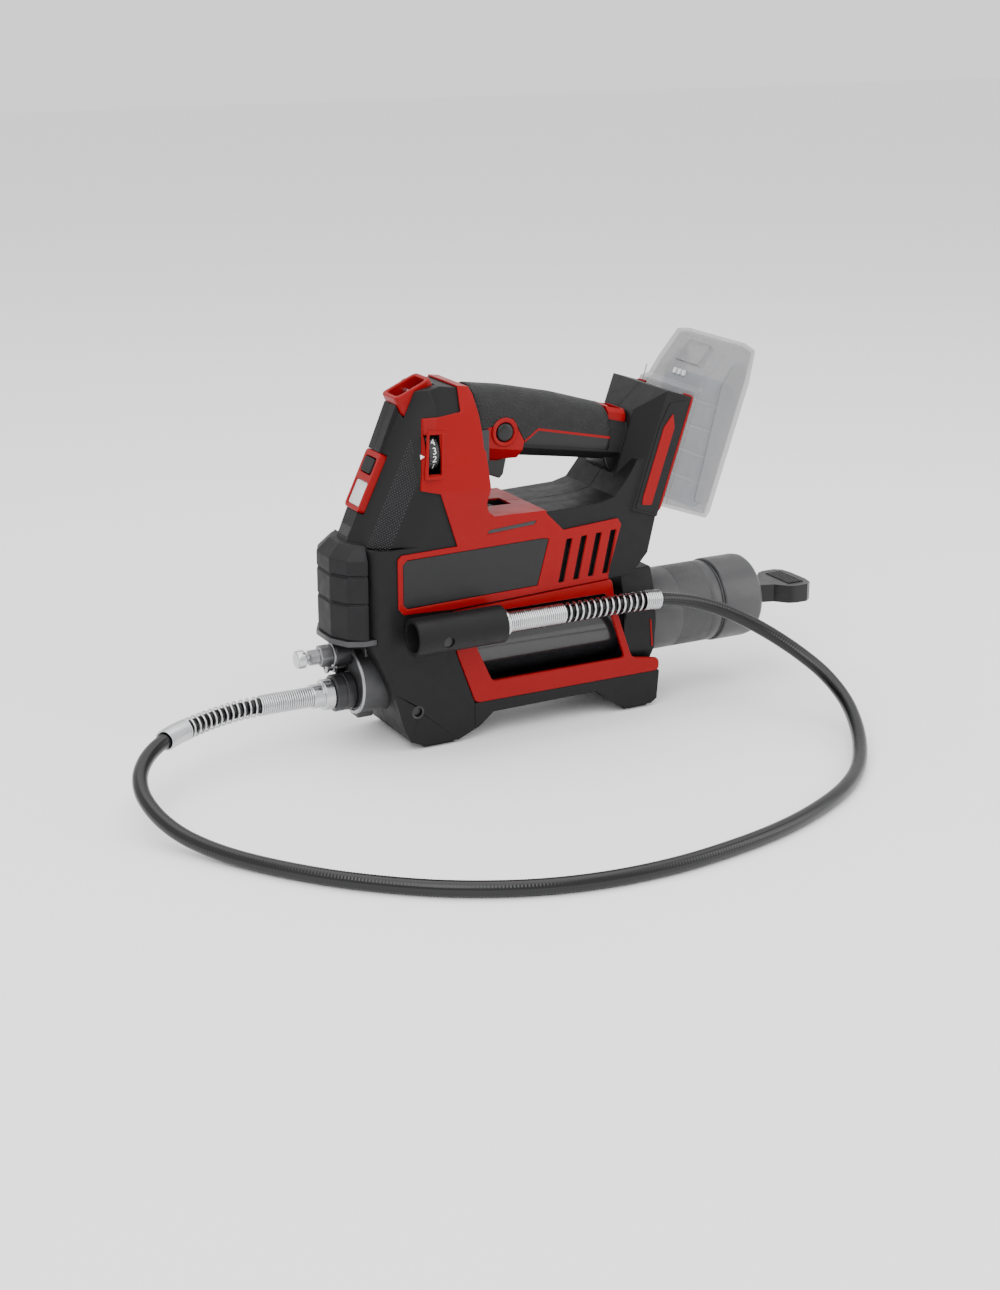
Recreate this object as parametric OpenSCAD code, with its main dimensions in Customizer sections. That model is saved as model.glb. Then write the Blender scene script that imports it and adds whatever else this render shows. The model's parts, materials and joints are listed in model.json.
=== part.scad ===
// Cordless grease gun: D-handle body, 400 g grease barrel, pump head and hose.
// X runs to the rear, Z is up, and the origin is under the front foot.
$fn = 48;

/* [Barrel] */
// Outer radius of the grease barrel
barrel_r = 29; // [27:0.5:36]
// Height of the barrel's axis above the floor
barrel_z = 64.5; // [62:0.5:80]
// Wall of the barrel tube
barrel_wall = 1.8; // [1:0.1:3]
// Place of the end cap's rear face
barrel_end = 280; // [270:1:340]
// Length of the end cap
cap_len = 37; // [20:1:45]
// Radius of the follower rod
rod_r = 4; // [3:0.25:6]

/* [Body] */
// Room between the barrel and the outside of the body
side_gap = 7; // [7:0.5:12]
// Wall of the moulded shells
wall = 2.6; // [1.8:0.1:3.2]
// Thickness of the coloured covers
skin = 1.6; // [1:0.1:2.4]
// Lean of the nose from vertical, in degrees
nose_lean = 25.4; // [20:0.2:28]
// Thickness of the rubber feet
pad_h = 2.5; // [1.5:0.5:4]

/* [Handle] */
// Half of the handle's width
handle_half = 19; // [17:0.5:24]
// Half of the trigger's width
trigger_half = 8; // [5:0.5:10]
// Radius of the lock-off button
lock_r = 6.6; // [5:0.2:8]
// Radius of the speed dial
dial_r = 13; // [10:0.5:14]
// Radius of the strap pins
pin_r = 2; // [1.4:0.1:2.6]

/* [Battery] */
// Half of the battery's width
pack_half = 38; // [36:0.5:46]
// Lean of the dock from vertical, in degrees
dock_lean = 18; // [15:0.5:20]
// Length of the battery along the dock
pack_len = 128; // [120:1:156]
// Depth of the battery behind the dock face
pack_deep = 50; // [44:1:64]
// Half of the battery neck's width
neck_half = 26; // [22:0.5:30]

/* [Pump] */
// Outer radius of the pump head
head_r = 24; // [20:0.5:29]
// Radius of the pump plunger
plunger_r = 5; // [4:0.25:6]
// Throw of the crank pin
crank_throw = 7; // [4:0.5:8]
// Gear module of the planetary set
gear_m = 0.8; // [0.6:0.02:0.82]
// Outer radius of the motor
motor_r = 20; // [15:0.5:21]

/* [Hose] */
// Outer diameter of the hose
hose_d = 10.5; // [8:0.5:13]
// Outer radius of the coupler holder tube
holder_r = 13.5; // [12:0.5:16]
// Radius of the springs' wire
wire_r = 0.8; // [0.5:0.1:1]

/* [Hidden] */

eps = 0.01;
fit = 0.05;
gap = 0.3;
half_w = barrel_r + side_gap;
deck_z = barrel_z + barrel_r + 6.5;
sill_z = barrel_z - barrel_r - 1.5;
frame_t = 3.4;
beam_half = half_w - frame_t + 0.8;

black = "#2c2c2f";
red = "#c41c22";
steel = "#b8bcc0";
grey = "#6d6e72";
rubber = "#3c3d40";

// --- building blocks -------------------------------------------------------
module slab(half)
    rotate([90, 0, 0]) linear_extrude(height = 2 * half, center = true) children();
module slab_between(y0, y1)
    translate([0, y1, 0]) rotate([90, 0, 0]) linear_extrude(height = y1 - y0) children();
module rod_x(x0, x1, r)
    translate([x0, 0, 0]) rotate([0, 90, 0]) cylinder(h = x1 - x0, r = r);
module rod_y(y0, y1, r)
    translate([0, y1, 0]) rotate([90, 0, 0]) cylinder(h = y1 - y0, r = r);
module box(lo, hi) translate(lo) cube(hi - lo);
module on_side(side)
    intersection() {
        children();
        box([-400, side < 0 ? -200 : eps / 2, -50], [500, side < 0 ? -eps / 2 : 200, 400]);
    }
module both_sides() {
    children();
    mirror([0, 1, 0]) children();
}
// Polygon given by one side's points, mirrored about the x axis
module mirrored_polygon(p)
    polygon(concat(p, [for (i = [len(p) - 1:-1:0]) [p[i][0], -p[i][1]]]));

// --- the body's outlines ---------------------------------------------------
nose_x = -58.6;
nose_z = deck_z + 52;
shelf_z = deck_z + 50;
module core_outline()
    polygon([
        [-14, pad_h], [14, pad_h], [27, 8], [27, sill_z - 6], [12, barrel_z + 4.5],
        [8, deck_z], [157, deck_z + 7], [170, deck_z + 21.5], [177, deck_z + 52],
        [189.2, deck_z + 90], [160, deck_z + 92], [150, deck_z + 78],
        [141, deck_z + 67], [129, deck_z + 64], [83, deck_z + 62.6], [42, deck_z + 63.5],
        [36.5, deck_z + 68], [35.5, deck_z + 75], [38, deck_z + 86], [36, deck_z + 110],
        [30, deck_z + 150], [28, deck_z + 154.5], [8, deck_z + 157.5],
        [-12, deck_z + 153], [-19, deck_z + 146], [nose_x, nose_z], [-52, shelf_z],
        [-52, deck_z - 16], [-49, barrel_z + 12.5], [-35, barrel_z - 25.5],
        [-29, 17.5], [-24, 7]]);
// Outside of the front block and the main body, shrunk all round by inset
module core_solid(inset)
    intersection() {
        difference() {
            slab(half_w - inset) offset(delta = -inset) core_outline();
            // front corners of the block, then the nose's flanks
            both_sides() intersection() {
                translate([0, 0, -20]) linear_extrude(height = deck_z + 100)
                    polygon([[-90, 25 - inset], [-52 + inset, 25 - inset],
                        [-45 + inset, 33 - inset], [-37 + inset, half_w - inset],
                        [-37 + inset, 90], [-90, 90]]);
                box([-200, -100, -20], [400, 100, shelf_z]);
            }
            both_sides() intersection() {
                at_nose() translate([0, 0, -80]) linear_extrude(height = 300)
                    polygon([[-60, 9 - inset / 2], [inset, 9 - inset / 2],
                        [8 + inset, 21 - inset], [22 + inset, 31 - inset],
                        [40 + inset, half_w - inset], [40 + inset, 90], [-60, 90]]);
                box([-200, -100, shelf_z], [400, 100, 500]);
            }
        }
        // upper corners lean inward
        translate([-200, 0, 0]) rotate([90, 0, 90]) linear_extrude(height = 600)
            mirrored_x([[half_w - inset, -10], [half_w - inset, deck_z + 88],
                [half_w - 7 - inset, deck_z + 138], [half_w - 15 - inset, deck_z + 158]]);
    }
module mirrored_x(p)
    polygon(concat(p, [for (i = [len(p) - 1:-1:0]) [-p[i][0], p[i][1]]]));

module handle_outline()
    polygon([[25, deck_z + 154], [66, deck_z + 148], [107, deck_z + 139],
        [149, deck_z + 126.5], [166, deck_z + 120.5], [185, deck_z + 112],
        [178, deck_z + 87], [152, deck_z + 88.5], [116, deck_z + 94.5],
        [74, deck_z + 100.5], [70, deck_z + 97], [38, deck_z + 99], [25, deck_z + 100]]);
// Handle with its long edges cut back, shrunk all round by inset
module handle_solid(inset)
    intersection() {
        slab(handle_half - inset) offset(delta = -inset) handle_outline();
        translate([25, 0, deck_z + 158 - inset]) rotate([0, 14, 0]) translate([-60, 0, 0])
            rotate([90, 0, 90]) linear_extrude(height = 300)
                mirrored_x([[handle_half - inset, -120], [handle_half - inset, -13],
                    [handle_half - 12 - inset, 0]]);
        translate([74, 0, deck_z + 98 + inset]) rotate([0, 9, 0]) translate([-100, 0, 0])
            rotate([90, 0, 90]) linear_extrude(height = 300)
                mirrored_x([[handle_half - inset, 120], [handle_half - inset, 9],
                    [handle_half - 8 - inset, 0]]);
    }

// --- the dock frame: w points away from the dock face, u runs up along it ---
dock_half = pack_half;
dock_top = 86;
dock_deep = 34;
module at_dock() translate([177, 0, deck_z + 52]) rotate([0, dock_lean, 0]) children();
module dock_outline()
    polygon([[0, -4], [0, dock_top], [-22, dock_top], [-dock_deep, dock_top - 20],
        [-dock_deep, -4]]);
module dock_solid(inset)
    at_dock() intersection() {
        slab(dock_half - inset) offset(delta = -inset) dock_outline();
        translate([0, 0, -60]) linear_extrude(height = 300)
            mirrored_polygon([[-dock_deep + inset, 20 - inset], [-22 + inset, dock_half - inset],
                [20, dock_half - inset]]);
    }
// Recess that the battery's neck slides down into
neck_deep = 7;
rail_half = neck_half + 4;
module dock_recess(c)
    at_dock() {
        box([-neck_deep - 1, -neck_half - c, 6], [5, neck_half + c, 120]);
        box([-neck_deep - 1, -rail_half - c, 6], [-3.6, rail_half + c, 120]);
    }

// --- shells ----------------------------------------------------------------
module outer_body(inset) {
    core_solid(inset);
    handle_solid(inset);
    dock_solid(inset);
}
axle_r = 2;
bearing_r = 8;
bearing_w = 5;
bearing_x = [-9, 56];
blade_y = [-12, -4, 4, 12];
dial_at = [-2.5, -half_w + 14.5, deck_z + 113];
lock_at = [59, deck_z + 120];
trigger_pivot = [43, deck_z + 106];
lever_box = [[33, -28.5, deck_z + 100], [46, -20, deck_z + 124]];
screw_at = [[18, 17], [120, deck_z + 55], [150, deck_z + 30], [18, deck_z + 130],
    [-28, deck_z + 65], [168, deck_z + 100]];
head_screw_at = [-18.5, 29];
head_boss_in = 13;
rear_eye = [[146.8, -14, deck_z + 104], [162.5, 14, deck_z + 128]];
module vent_slots(y0, y1)
    for (i = [0:3])
        translate([94 + 12.2 * i, 0, deck_z + 9 + 0.6 * i]) slab_between(y0, y1)
            polygon([[0, 0], [4.6, 0], [11.2, 32], [6.6, 32]]);
module body_openings() {
    // barrel and pump head pass through the front block
    translate([0, 0, barrel_z]) rod_x(2, 400, barrel_r + 2 * gap);
    translate([0, 0, head_z]) rod_x(-90, -9.7, head_r + gap);
    box([-60, -13.3, 50], [-27.7, 13.3, flange_z]);
    // slot for the gear case's flange
    box([-90, -31, flange_z - 0.2], [-40, 31, flange_z + 4.2]);
    // trigger slot, and the hole for its front
    box([37, -trigger_half - 0.4, deck_z + 78], [73.5, trigger_half + 0.4, deck_z + 107.4]);
    // lock-off button
    translate([lock_at[0], 0, lock_at[1]]) rod_y(-60, 60, lock_r + gap);
    // lock lever recess
    box(lever_box[0], lever_box[1]);
    box([24, -26.3, deck_z + 106], [35, -22.2, deck_z + 116.8]);
    // speed dial window
    translate([dial_at[0], 0, dial_at[2]])
        box([-5, -60, -dial_r - 0.5], [5, dial_at[1] + dial_r + 0.5, dial_r + 0.5]);
    translate(dial_at) rod_x(-9, 9, axle_r + fit);
    // lamp recess, eyelets, slider recess, vents
    at_nose() box([-3, -12.2, 22.6], [8.2, 12.2, 66.4]);
    front_eyelet_room();
    box(rear_eye[0] - [gap, gap, gap], rear_eye[1] + [gap, gap, 20]);
    box([43, -9.3, deck_z + 57.8], [70.3, 9.3, deck_z + 70]);
    vent_slots(-60, 60);
    dock_recess(gap);
    for (y = blade_y) at_dock() box([-neck_deep - 5, y - 0.7, 13.5], [-6, y + 0.7, 30.5]);
    // screws from the right, and one into the pump head from each side
    for (s = screw_at) translate([s[0], 0, s[1]]) {
        rod_y(-half_w + 8, 60, 1.9);
        rod_y(half_w - 4, 60, 3.6);
    }
    both_sides() translate([head_screw_at[0], 0, head_screw_at[1]]) {
        rod_y(-60, -10, 1.9);
        rod_y(-60, -half_w + 5, 3.6);
    }
}
module at_nose() translate([nose_x, 0, nose_z]) rotate([0, nose_lean, 0]) children();
module shell(side)
    color(black) on_side(side) difference() {
        union() {
            difference() {
                outer_body(0);
                outer_body(wall);
            }
            // pillars that the screws pull together
            for (s = screw_at) translate([s[0], 0, s[1]]) intersection() {
                rod_y(-half_w + 1, half_w - 1, 4.2);
                translate([-s[0], 0, -s[1]]) outer_body(1);
            }
            both_sides() translate([head_screw_at[0], 0, head_screw_at[1]])
                rod_y(-half_w + 1, -head_boss_in, 4.6);
            // ribs that hold the motor, its bearings, the dial, the trigger and the slider
            intersection() {
                outer_body(1);
                union() {
                    motor_ribs();
                    for (x = [-7.6, 5.2]) translate([dial_at[0] + x, dial_at[1], dial_at[2]])
                        box([0, -14, -6], [2.4, 4, 6]);
                    translate([trigger_pivot[0], 0, trigger_pivot[1]]) rod_y(-30, 30, 1.5);
                    box([45, -handle_half, deck_z + 114], [51.8, handle_half, deck_z + 117]);
                    box([41.5, -11, deck_z + 55.6], [71.8, 11, deck_z + 61]);
                }
            }
            // floor and sides of the dock recess
            intersection() {
                at_dock() box([-neck_deep - 3.5, -rail_half - 3, 3], [-1, rail_half + 3, 84]);
                dock_solid(0.5);
            }
        }
        body_openings();
        motor_bores();
    }
// Ribs across the body with the seats of the motor and its bearings
module motor_ribs() {
    for (x = [6, 34]) box([x, -100, motor_z - 22], [x + 3, 100, motor_z + 22]);
    for (x = bearing_x) box([x, -100, motor_z - 13], [x + bearing_w, 100, motor_z + 13]);
}
module motor_bores()
    translate([0, 0, motor_z]) {
        rod_x(-1, 43, motor_r + fit);
        for (x = bearing_x) rod_x(x - 1, x + bearing_w + 1, bearing_r + fit);
    }
module left_shell() shell(-1);
module right_shell() shell(1);

// --- covers, badges and grip -----------------------------------------------
module cover_outline()
    polygon([
        [-7, deck_z + 137], [20, deck_z + 140], [21, deck_z + 160], [33.5, deck_z + 158],
        [36, deck_z + 112], [50, deck_z + 110], [50, deck_z + 80], [30, deck_z + 80],
        [30, deck_z + 70], [84, deck_z + 70], [84, deck_z + 62], [98, deck_z + 48],
        [143, deck_z + 51], [146, deck_z + 46], [136, deck_z + 12], [136, deck_z + 6.3],
        [10, deck_z + 1.5], [-29, deck_z + 3], [-33, deck_z + 8], [-33, deck_z + 43],
        [-30, deck_z + 46], [13, deck_z + 47], [0.5, deck_z + 86], [-13, deck_z + 89]]);
module badge_outline(grow)
    offset(delta = grow) polygon([[-26, deck_z + 7], [77, deck_z + 9.5], [86, deck_z + 43],
        [80, deck_z + 44], [-26, deck_z + 42], [-29, deck_z + 39], [-29, deck_z + 10]]);
module lock_zone()
    polygon([[36, deck_z + 99], [72, deck_z + 99], [75, deck_z + 112], [66, deck_z + 129],
        [36, deck_z + 122]]);
module cover(side)
    color(red) on_side(side) difference() {
        union() {
            intersection() {
                slab(100) cover_outline();
                difference() {
                    core_solid(-skin);
                    core_solid(0);
                }
            }
            intersection() {
                slab(100) lock_zone();
                difference() {
                    handle_solid(-skin);
                    handle_solid(0);
                }
            }
        }
        core_solid(0);
        handle_solid(0);
        slab(100) badge_outline(0.1);
        vent_slots(-60, 60);
        body_openings();
        // long groove above the badge
        both_sides() translate([0, -half_w - skin, 0]) slab_between(-1, 0.9)
            polygon([[36, deck_z + 52.5], [74, deck_z + 55], [76, deck_z + 58],
                [38, deck_z + 55.5]]);
    }
module left_cover() cover(-1);
module right_cover() cover(1);
module badge_plates()
    color(black) difference() {
        intersection() {
            slab(100) badge_outline(0);
            difference() {
                core_solid(-skin * 0.75);
                core_solid(0);
            }
        }
        body_openings();
    }
module grip_sleeve()
    color(rubber) difference() {
        intersection() {
            difference() {
                handle_solid(-skin);
                handle_solid(0);
            }
            slab(100) polygon([[37.5, deck_z + 170], [37.5, deck_z + 122.3],
                [65.9, deck_z + 129.3], [75.3, deck_z + 112.3], [86, deck_z + 120],
                [rear_eye[0][0] - 1, deck_z + 107.5], [rear_eye[0][0] - 1, deck_z + 170]]);
        }
        core_solid(0);
        core_solid(-skin);
        dock_solid(-gap);
        body_openings();
    }

// --- cradle ----------------------------------------------------------------
saddle_x0 = 153;
saddle_x1 = 180;
module cradle_base()
    color(black) difference() {
        union() {
            slab(beam_half - gap) polygon([[27 + eps, 8.2], [31, 10], [42, 19], [129, 20],
                [146, 6], [154, pad_h], [176, pad_h], [181, 6], [182.5, 26],
                [182.5, sill_z], [27 + eps, sill_z]]);
            slab(half_w) polygon([[27 + eps, 8.2], [31, 10], [42, 19], [129, 20], [146, 6],
                [154, pad_h], [176, pad_h], [181, 6], [182.5, 26], [182.5, sill_z - 6],
                [27 + eps, sill_z - 6]]);
        }
        // hollow underneath, with cross ribs left standing
        for (x = [48, 76, 104])
            box([x, -half_w + 3, -1], [x + 24, half_w - 3, sill_z - 4]);
        // room for the saddle
        box([saddle_x0 - 0.2, -beam_half, sill_z - 7], [saddle_x1 + 0.2, beam_half, 99]);
        translate([0, 0, barrel_z]) rod_x(0, 400, barrel_r + gap);
        translate([0, 0, barrel_z]) rod_x(saddle_x1, 400, barrel_r + 2.5);
    }
module frame_ring()
    difference() {
        polygon([[27.4, sill_z - 5.8], [182, sill_z - 5.8], [182, sill_z + 4],
            [158, sill_z + 8], [143, barrel_z + 19.5], [139.5, deck_z + 5.8],
            [8.4, deck_z - 0.3], [12.4, barrel_z + 4.6]]);
        polygon([[41, sill_z + 9], [152, sill_z + 9], [137.5, barrel_z + 19.5],
            [135, deck_z - 5], [23, deck_z - 5], [29, barrel_z + 4.5]]);
    }
module left_cradle_frame()
    color(red) slab_between(-half_w - 0.8, -beam_half) frame_ring();
module right_cradle_frame() mirror([0, 1, 0]) left_cradle_frame();
module foot_pads()
    color(rubber) {
        box([-12, -half_w + 4, 0], [12, half_w - 4, pad_h]);
        box([155, -half_w + 4, 0], [175, half_w - 4, pad_h]);
    }
module rear_saddle()
    color("#38383b") difference() {
        translate([saddle_x0, 0, 0]) rotate([90, 0, 90])
            linear_extrude(height = saddle_x1 - saddle_x0)
                mirrored_x([[22, sill_z - 7], [beam_half - 0.5, barrel_z - 18],
                    [beam_half - 0.5, barrel_z + 20], [24, deck_z + 6.5]]);
        translate([0, 0, barrel_z]) rod_x(0, 400, barrel_r + gap);
        core_solid(-0.05);
        core_solid(-skin - 0.1);
    }

// --- strap eyelets ---------------------------------------------------------
eye_at = [-6, deck_z + 150];
eye_lean = -24;
rear_pin = [152, deck_z + 118];
module at_eye() translate([eye_at[0], 0, eye_at[1]]) rotate([0, eye_lean, 0]) children();
module front_eyelet_room() at_eye() box([-14.3, -12.8, -9.3], [16.3, 12.8, 40]);
module front_eyelet()
    color(red) difference() {
        at_eye() difference() {
            box([-14, -12.5, -9], [16, 12.5, 5.4]);
            box([-11, -9.5, -6.5], [13, 9.5, 20]);
        }
        translate([eye_at[0] + 2, 0, eye_at[1] + 0.5]) rod_y(-11.5, 11.5, pin_r + fit);
    }
module rear_eyelet()
    color(red) difference() {
        intersection() {
            box(rear_eye[0], rear_eye[1]);
            handle_solid(-2.5);
        }
        box(rear_eye[0] + [2.5, 3, 3], rear_eye[1] + [-3, -3, 10]);
        translate([rear_pin[0], 0, rear_pin[1]]) rod_y(-13, 13, pin_r + fit);
        dock_solid(gap);
        dock_solid(0);
    }
module strap_pins()
    color(steel) {
        translate([eye_at[0] + 2, 0, eye_at[1] + 0.5]) rod_y(-11.4, 11.4, pin_r);
        translate([rear_pin[0], 0, rear_pin[1]]) rod_y(-12.9, 12.9, pin_r);
    }

// --- lamp ------------------------------------------------------------------
module lamp_bezel()
    color(red) at_nose() difference() {
        box([-1.6, -12, 22.8], [8, 12, 66.2]);
        box([-3, -9, 26], [6, 9, 44]);
        box([-3, -8, 50], [6, 8, 61]);
    }
module lamp_lens() color("#e8e8e4") at_nose() box([-0.8, -8.9, 26.1], [4, 8.9, 43.9]);
module lamp_button()
    color(black) at_nose() {
        box([-2.2, -7.6, 50.4], [1, 7.6, 60.6]);
        box([0.9, -3, 53], [3.6, 3, 58]);
    }

// --- bumper and gear case --------------------------------------------------
flange_z = deck_z - 18;
module bumper()
    color(rubber) difference() {
        intersection() {
            translate([0, 0, flange_z + 4 + eps]) linear_extrude(height = 66)
                mirrored_polygon([[-73, 11], [-66, 25], [-56, 31], [-52.3, 31]]);
            slab(60) polygon([[-52.3, flange_z], [-52.3, deck_z + 53], [-60, deck_z + 52],
                [-69, deck_z + 47], [-74, deck_z + 40], [-74, flange_z]]);
        }
        // hollow behind the ribs
        box([-66, -20, flange_z + 8], [-52, 20, deck_z + 40]);
        core_solid(-0.1);
    }
ring_r0 = 24 * gear_m;
case_r = ring_r0 + 5.5;
motor_z = deck_z + 24;
crank_x = -38;
module gear_case()
    color("#9c9ea2") difference() {
        union() {
            // flange under the bumper
            translate([0, 0, flange_z]) linear_extrude(height = 4)
                mirrored_polygon([[-74.5, 11.5], [-67, 26], [-56, 30.6], [-46, 30.6],
                    [-46, 22], [-20, 22]]);
            box([-47, -19, flange_z + 4 - eps], [-25, 19, motor_z + 21]);
            translate([0, 0, motor_z]) rod_x(-26, -11.5, case_r);
        }
        // crank chamber, gear bore, bearing seats and plunger guide
        box([-45, -16, flange_z + 8], [-31, 16, motor_z + 18]);
        translate([0, 0, motor_z]) rod_x(-24, -5, case_r - 2);
        translate([0, 0, motor_z]) rod_x(-40, -20, 5 + 2 * fit);
        translate([crank_x, 0, 0]) cylinder(h = motor_z, r = plunger_r + fit);
    }

// --- pump ------------------------------------------------------------------
head_z = barrel_z - 16.5;
out_z = head_z - 7.5;
bleed_at = [4, head_z + 20];
fill_at = [12, head_z + 8];
module pump_head()
    color("#77787c") difference() {
        union() {
            translate([0, 0, head_z]) rod_x(-54, -10, head_r);
            translate([0, 0, barrel_z]) rod_x(-11, 3.5, barrel_r + 3);
            box([-48, -13, head_z + 10], [-28, 13, flange_z]);
            translate([0, bleed_at[0], bleed_at[1]]) rod_x(-54, -42, 9);
            box([-52, -6, head_z - head_r - 3.4], [-40, 6, head_z]);
        }
        // barrel socket and the passage from it to the plunger
        translate([0, 0, barrel_z]) rod_x(-4, 10, barrel_r + fit);
        translate([0, 0, head_z + 4]) rod_x(crank_x, 0, 4);
        // plunger bore, outlet, bleeder and fill ports
        translate([crank_x, 0, head_z - 12]) cylinder(h = 60, r = plunger_r + fit);
        translate([0, 0, out_z]) rod_x(-60, crank_x, 3);
        translate([0, 0, out_z]) rod_x(-60, -48, 6 + fit);
        translate([0, bleed_at[0], bleed_at[1]]) rod_x(-60, -48, 4 + fit);
        translate([0, fill_at[0], fill_at[1]]) rod_x(-60, -48, 3 + fit);
        both_sides() translate([head_screw_at[0], 0, head_screw_at[1]]) rod_y(-30, -10, 1.85);
    }
module outlet_swivel()
    color(black) translate([0, 0, out_z]) difference() {
        union() {
            rod_x(-69.5, -54 - eps, 13.4);
            rod_x(-54.2, -48.2, 6);
        }
        rod_x(-90, -40, 3);
    }
module outlet_ferrule()
    color(steel) translate([0, 0, out_z]) difference() {
        union() {
            rod_x(-73, -69.5 - eps, 12.9);
            rod_x(-78, -72.9, 10.4);
        }
        rod_x(-90, -74, hose_d / 2 + 0.02);
        rod_x(-90, -60, 3);
    }
module bleeder_body()
    color("#8b8d90") translate([0, bleed_at[0], bleed_at[1]]) difference() {
        union() {
            rod_x(-66, -54 - eps, 8);
            rod_x(-54.2, -48.2, 4);
            rod_x(-67.5, -65.9, 8.6);
            rotate([0, -90, 0]) rotate([0, 0, 30]) translate([0, 0, 67.4])
                cylinder(h = 9.6, r = 8, $fn = 6);
            rod_x(-84.5, -76.9, 5.6);
        }
        rod_x(-86, -70, 2 + gap / 3);
    }
module bleeder_tip()
    color("#c4c6c8") translate([0, bleed_at[0], bleed_at[1]]) {
        rod_x(-94, -87.2, 6.6);
        rod_x(-87.3, -72.5, 2);
    }
module fill_nipple()
    color("#b9babd") translate([0, fill_at[0], fill_at[1]]) difference() {
        union() {
            rod_x(-54.2, -48.2, 3);
            rotate([0, -90, 0]) translate([0, 0, 54 + eps]) cylinder(h = 8, r = 5.6, $fn = 6);
            rod_x(-69, -61.9, 4.6);
        }
        rod_x(-80, -47, 1.2);
    }

// --- hose ------------------------------------------------------------------
// Route of the hose's centre line from the outlet to the parked coupler
hose_route = [[-74, 0, 40.5], [-95, 0, 40.5], [-120, 0, 40.5], [-140, -2, 40.5],
    [-160, -7, 40], [-178, -14, 39.5], [-195, -22, 38.5], [-211, -33, 36.5],
    [-224, -47, 33], [-233, -64, 28.5], [-236, -83, 22.5], [-232, -105, 15],
    [-222, -128, 9], [-205, -158, 6], [-180, -193, 5.3], [-150, -226, 5.3],
    [-110, -258, 5.3], [-65, -281, 5.3], [-20, -293, 5.3], [28, -296, 5.3],
    [75, -291, 5.3], [120, -281, 5.3], [160, -266, 5.3], [197, -246, 5.3],
    [228, -221, 5.6], [252, -192, 8.5], [269, -163, 14.5], [278, -137, 22.5],
    [278, -113, 33], [270, -93, 44], [256, -76, 56], [239, -64, 67], [220, -56, 76.5],
    [200, -52, 83.5], [180, -51, 88], [162, -51, 90], [140, -51, 90.5],
    [90, -51, 90.5], [42, -51, 90.5]];
hose_sides = 10;
// Point on the smooth curve through points p at place t, t counted in points
function curve_at(p, t) =
    let (n = len(p) - 1, i = min(floor(t), n - 1), f = t - i,
         a = p[max(i - 1, 0)], b = p[i], c = p[i + 1], d = p[min(i + 2, n)])
    0.5 * (2 * b + (c - a) * f + (2 * a - 5 * b + 4 * c - d) * f * f
        + (3 * b - a - 3 * c + d) * f * f * f);
function unit(v) = v / norm(v);
// Ring of a swept tube, square to the curve at place t
function ring_at(p, t, r, sides) =
    let (n = len(p) - 1, a = curve_at(p, max(t - 0.02, 0)),
         b = curve_at(p, min(t + 0.02, n)), dir = unit(b - a),
         across = unit(cross(dir, [0, 0, 1])), up = cross(across, dir))
    [for (k = [0:sides - 1]) curve_at(p, t)
        + r * cos(360 * k / sides) * across + r * sin(360 * k / sides) * up];
module swept_tube(p, steps, r, sides) {
    n = len(p) - 1;
    m = steps * n;
    pts = [for (i = [0:m]) each ring_at(p, i / steps, r, sides)];
    skin_faces = [for (i = [0:m - 1], k = [0:sides - 1])
        let (q = (k + 1) % sides)
        [i * sides + k, i * sides + q, (i + 1) * sides + q, (i + 1) * sides + k]];
    ends = [[for (k = [sides - 1:-1:0]) k], [for (k = [0:sides - 1]) m * sides + k]];
    polyhedron(points = pts, faces = concat(skin_faces, ends), convexity = 10);
}
module hose() color("#1b1b1d") swept_tube(hose_route, 2, hose_d / 2, hose_sides);

// Sleeve that stands for a close spring round the hose, as a swept ring pipe
guard_r = hose_d / 2 + 2.2;
// Ring numbers along the hose where each spring guard stops and starts
outlet_guard_end = 6.4;
coupler_guard_start = 34.9;
module swept_pipe(p, t0, t1, steps, r_out, r_in, sides) {
    row = 2 * sides;
    pts = [for (i = [0:steps]) each concat(
        ring_at(p, t0 + (t1 - t0) * i / steps, r_out, sides),
        ring_at(p, t0 + (t1 - t0) * i / steps, r_in, sides))];
    outer = [for (i = [0:steps - 1], k = [0:sides - 1]) let (q = (k + 1) % sides)
        [i * row + k, i * row + q, (i + 1) * row + q, (i + 1) * row + k]];
    inner = [for (i = [0:steps - 1], k = [0:sides - 1]) let (q = (k + 1) % sides)
        [i * row + sides + q, i * row + sides + k, (i + 1) * row + sides + k,
         (i + 1) * row + sides + q]];
    ends = [for (k = [0:sides - 1], e = [0, 1]) let (q = (k + 1) % sides, o = e * steps * row)
        e == 0 ? [o + q, o + k, o + sides + k, o + sides + q]
            : [o + k, o + q, o + sides + q, o + sides + k]];
    polyhedron(points = pts, faces = concat(outer, inner, ends), convexity = 10);
}
module outlet_spring()
    color(steel) swept_pipe(hose_route, 0.3, outlet_guard_end, 12, guard_r,
        hose_d / 2 + 0.2, 16);
module coupler_spring()
    color(steel) swept_pipe(hose_route, coupler_guard_start, 37.88, 8, guard_r,
        hose_d / 2 + 0.2, 16);

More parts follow.
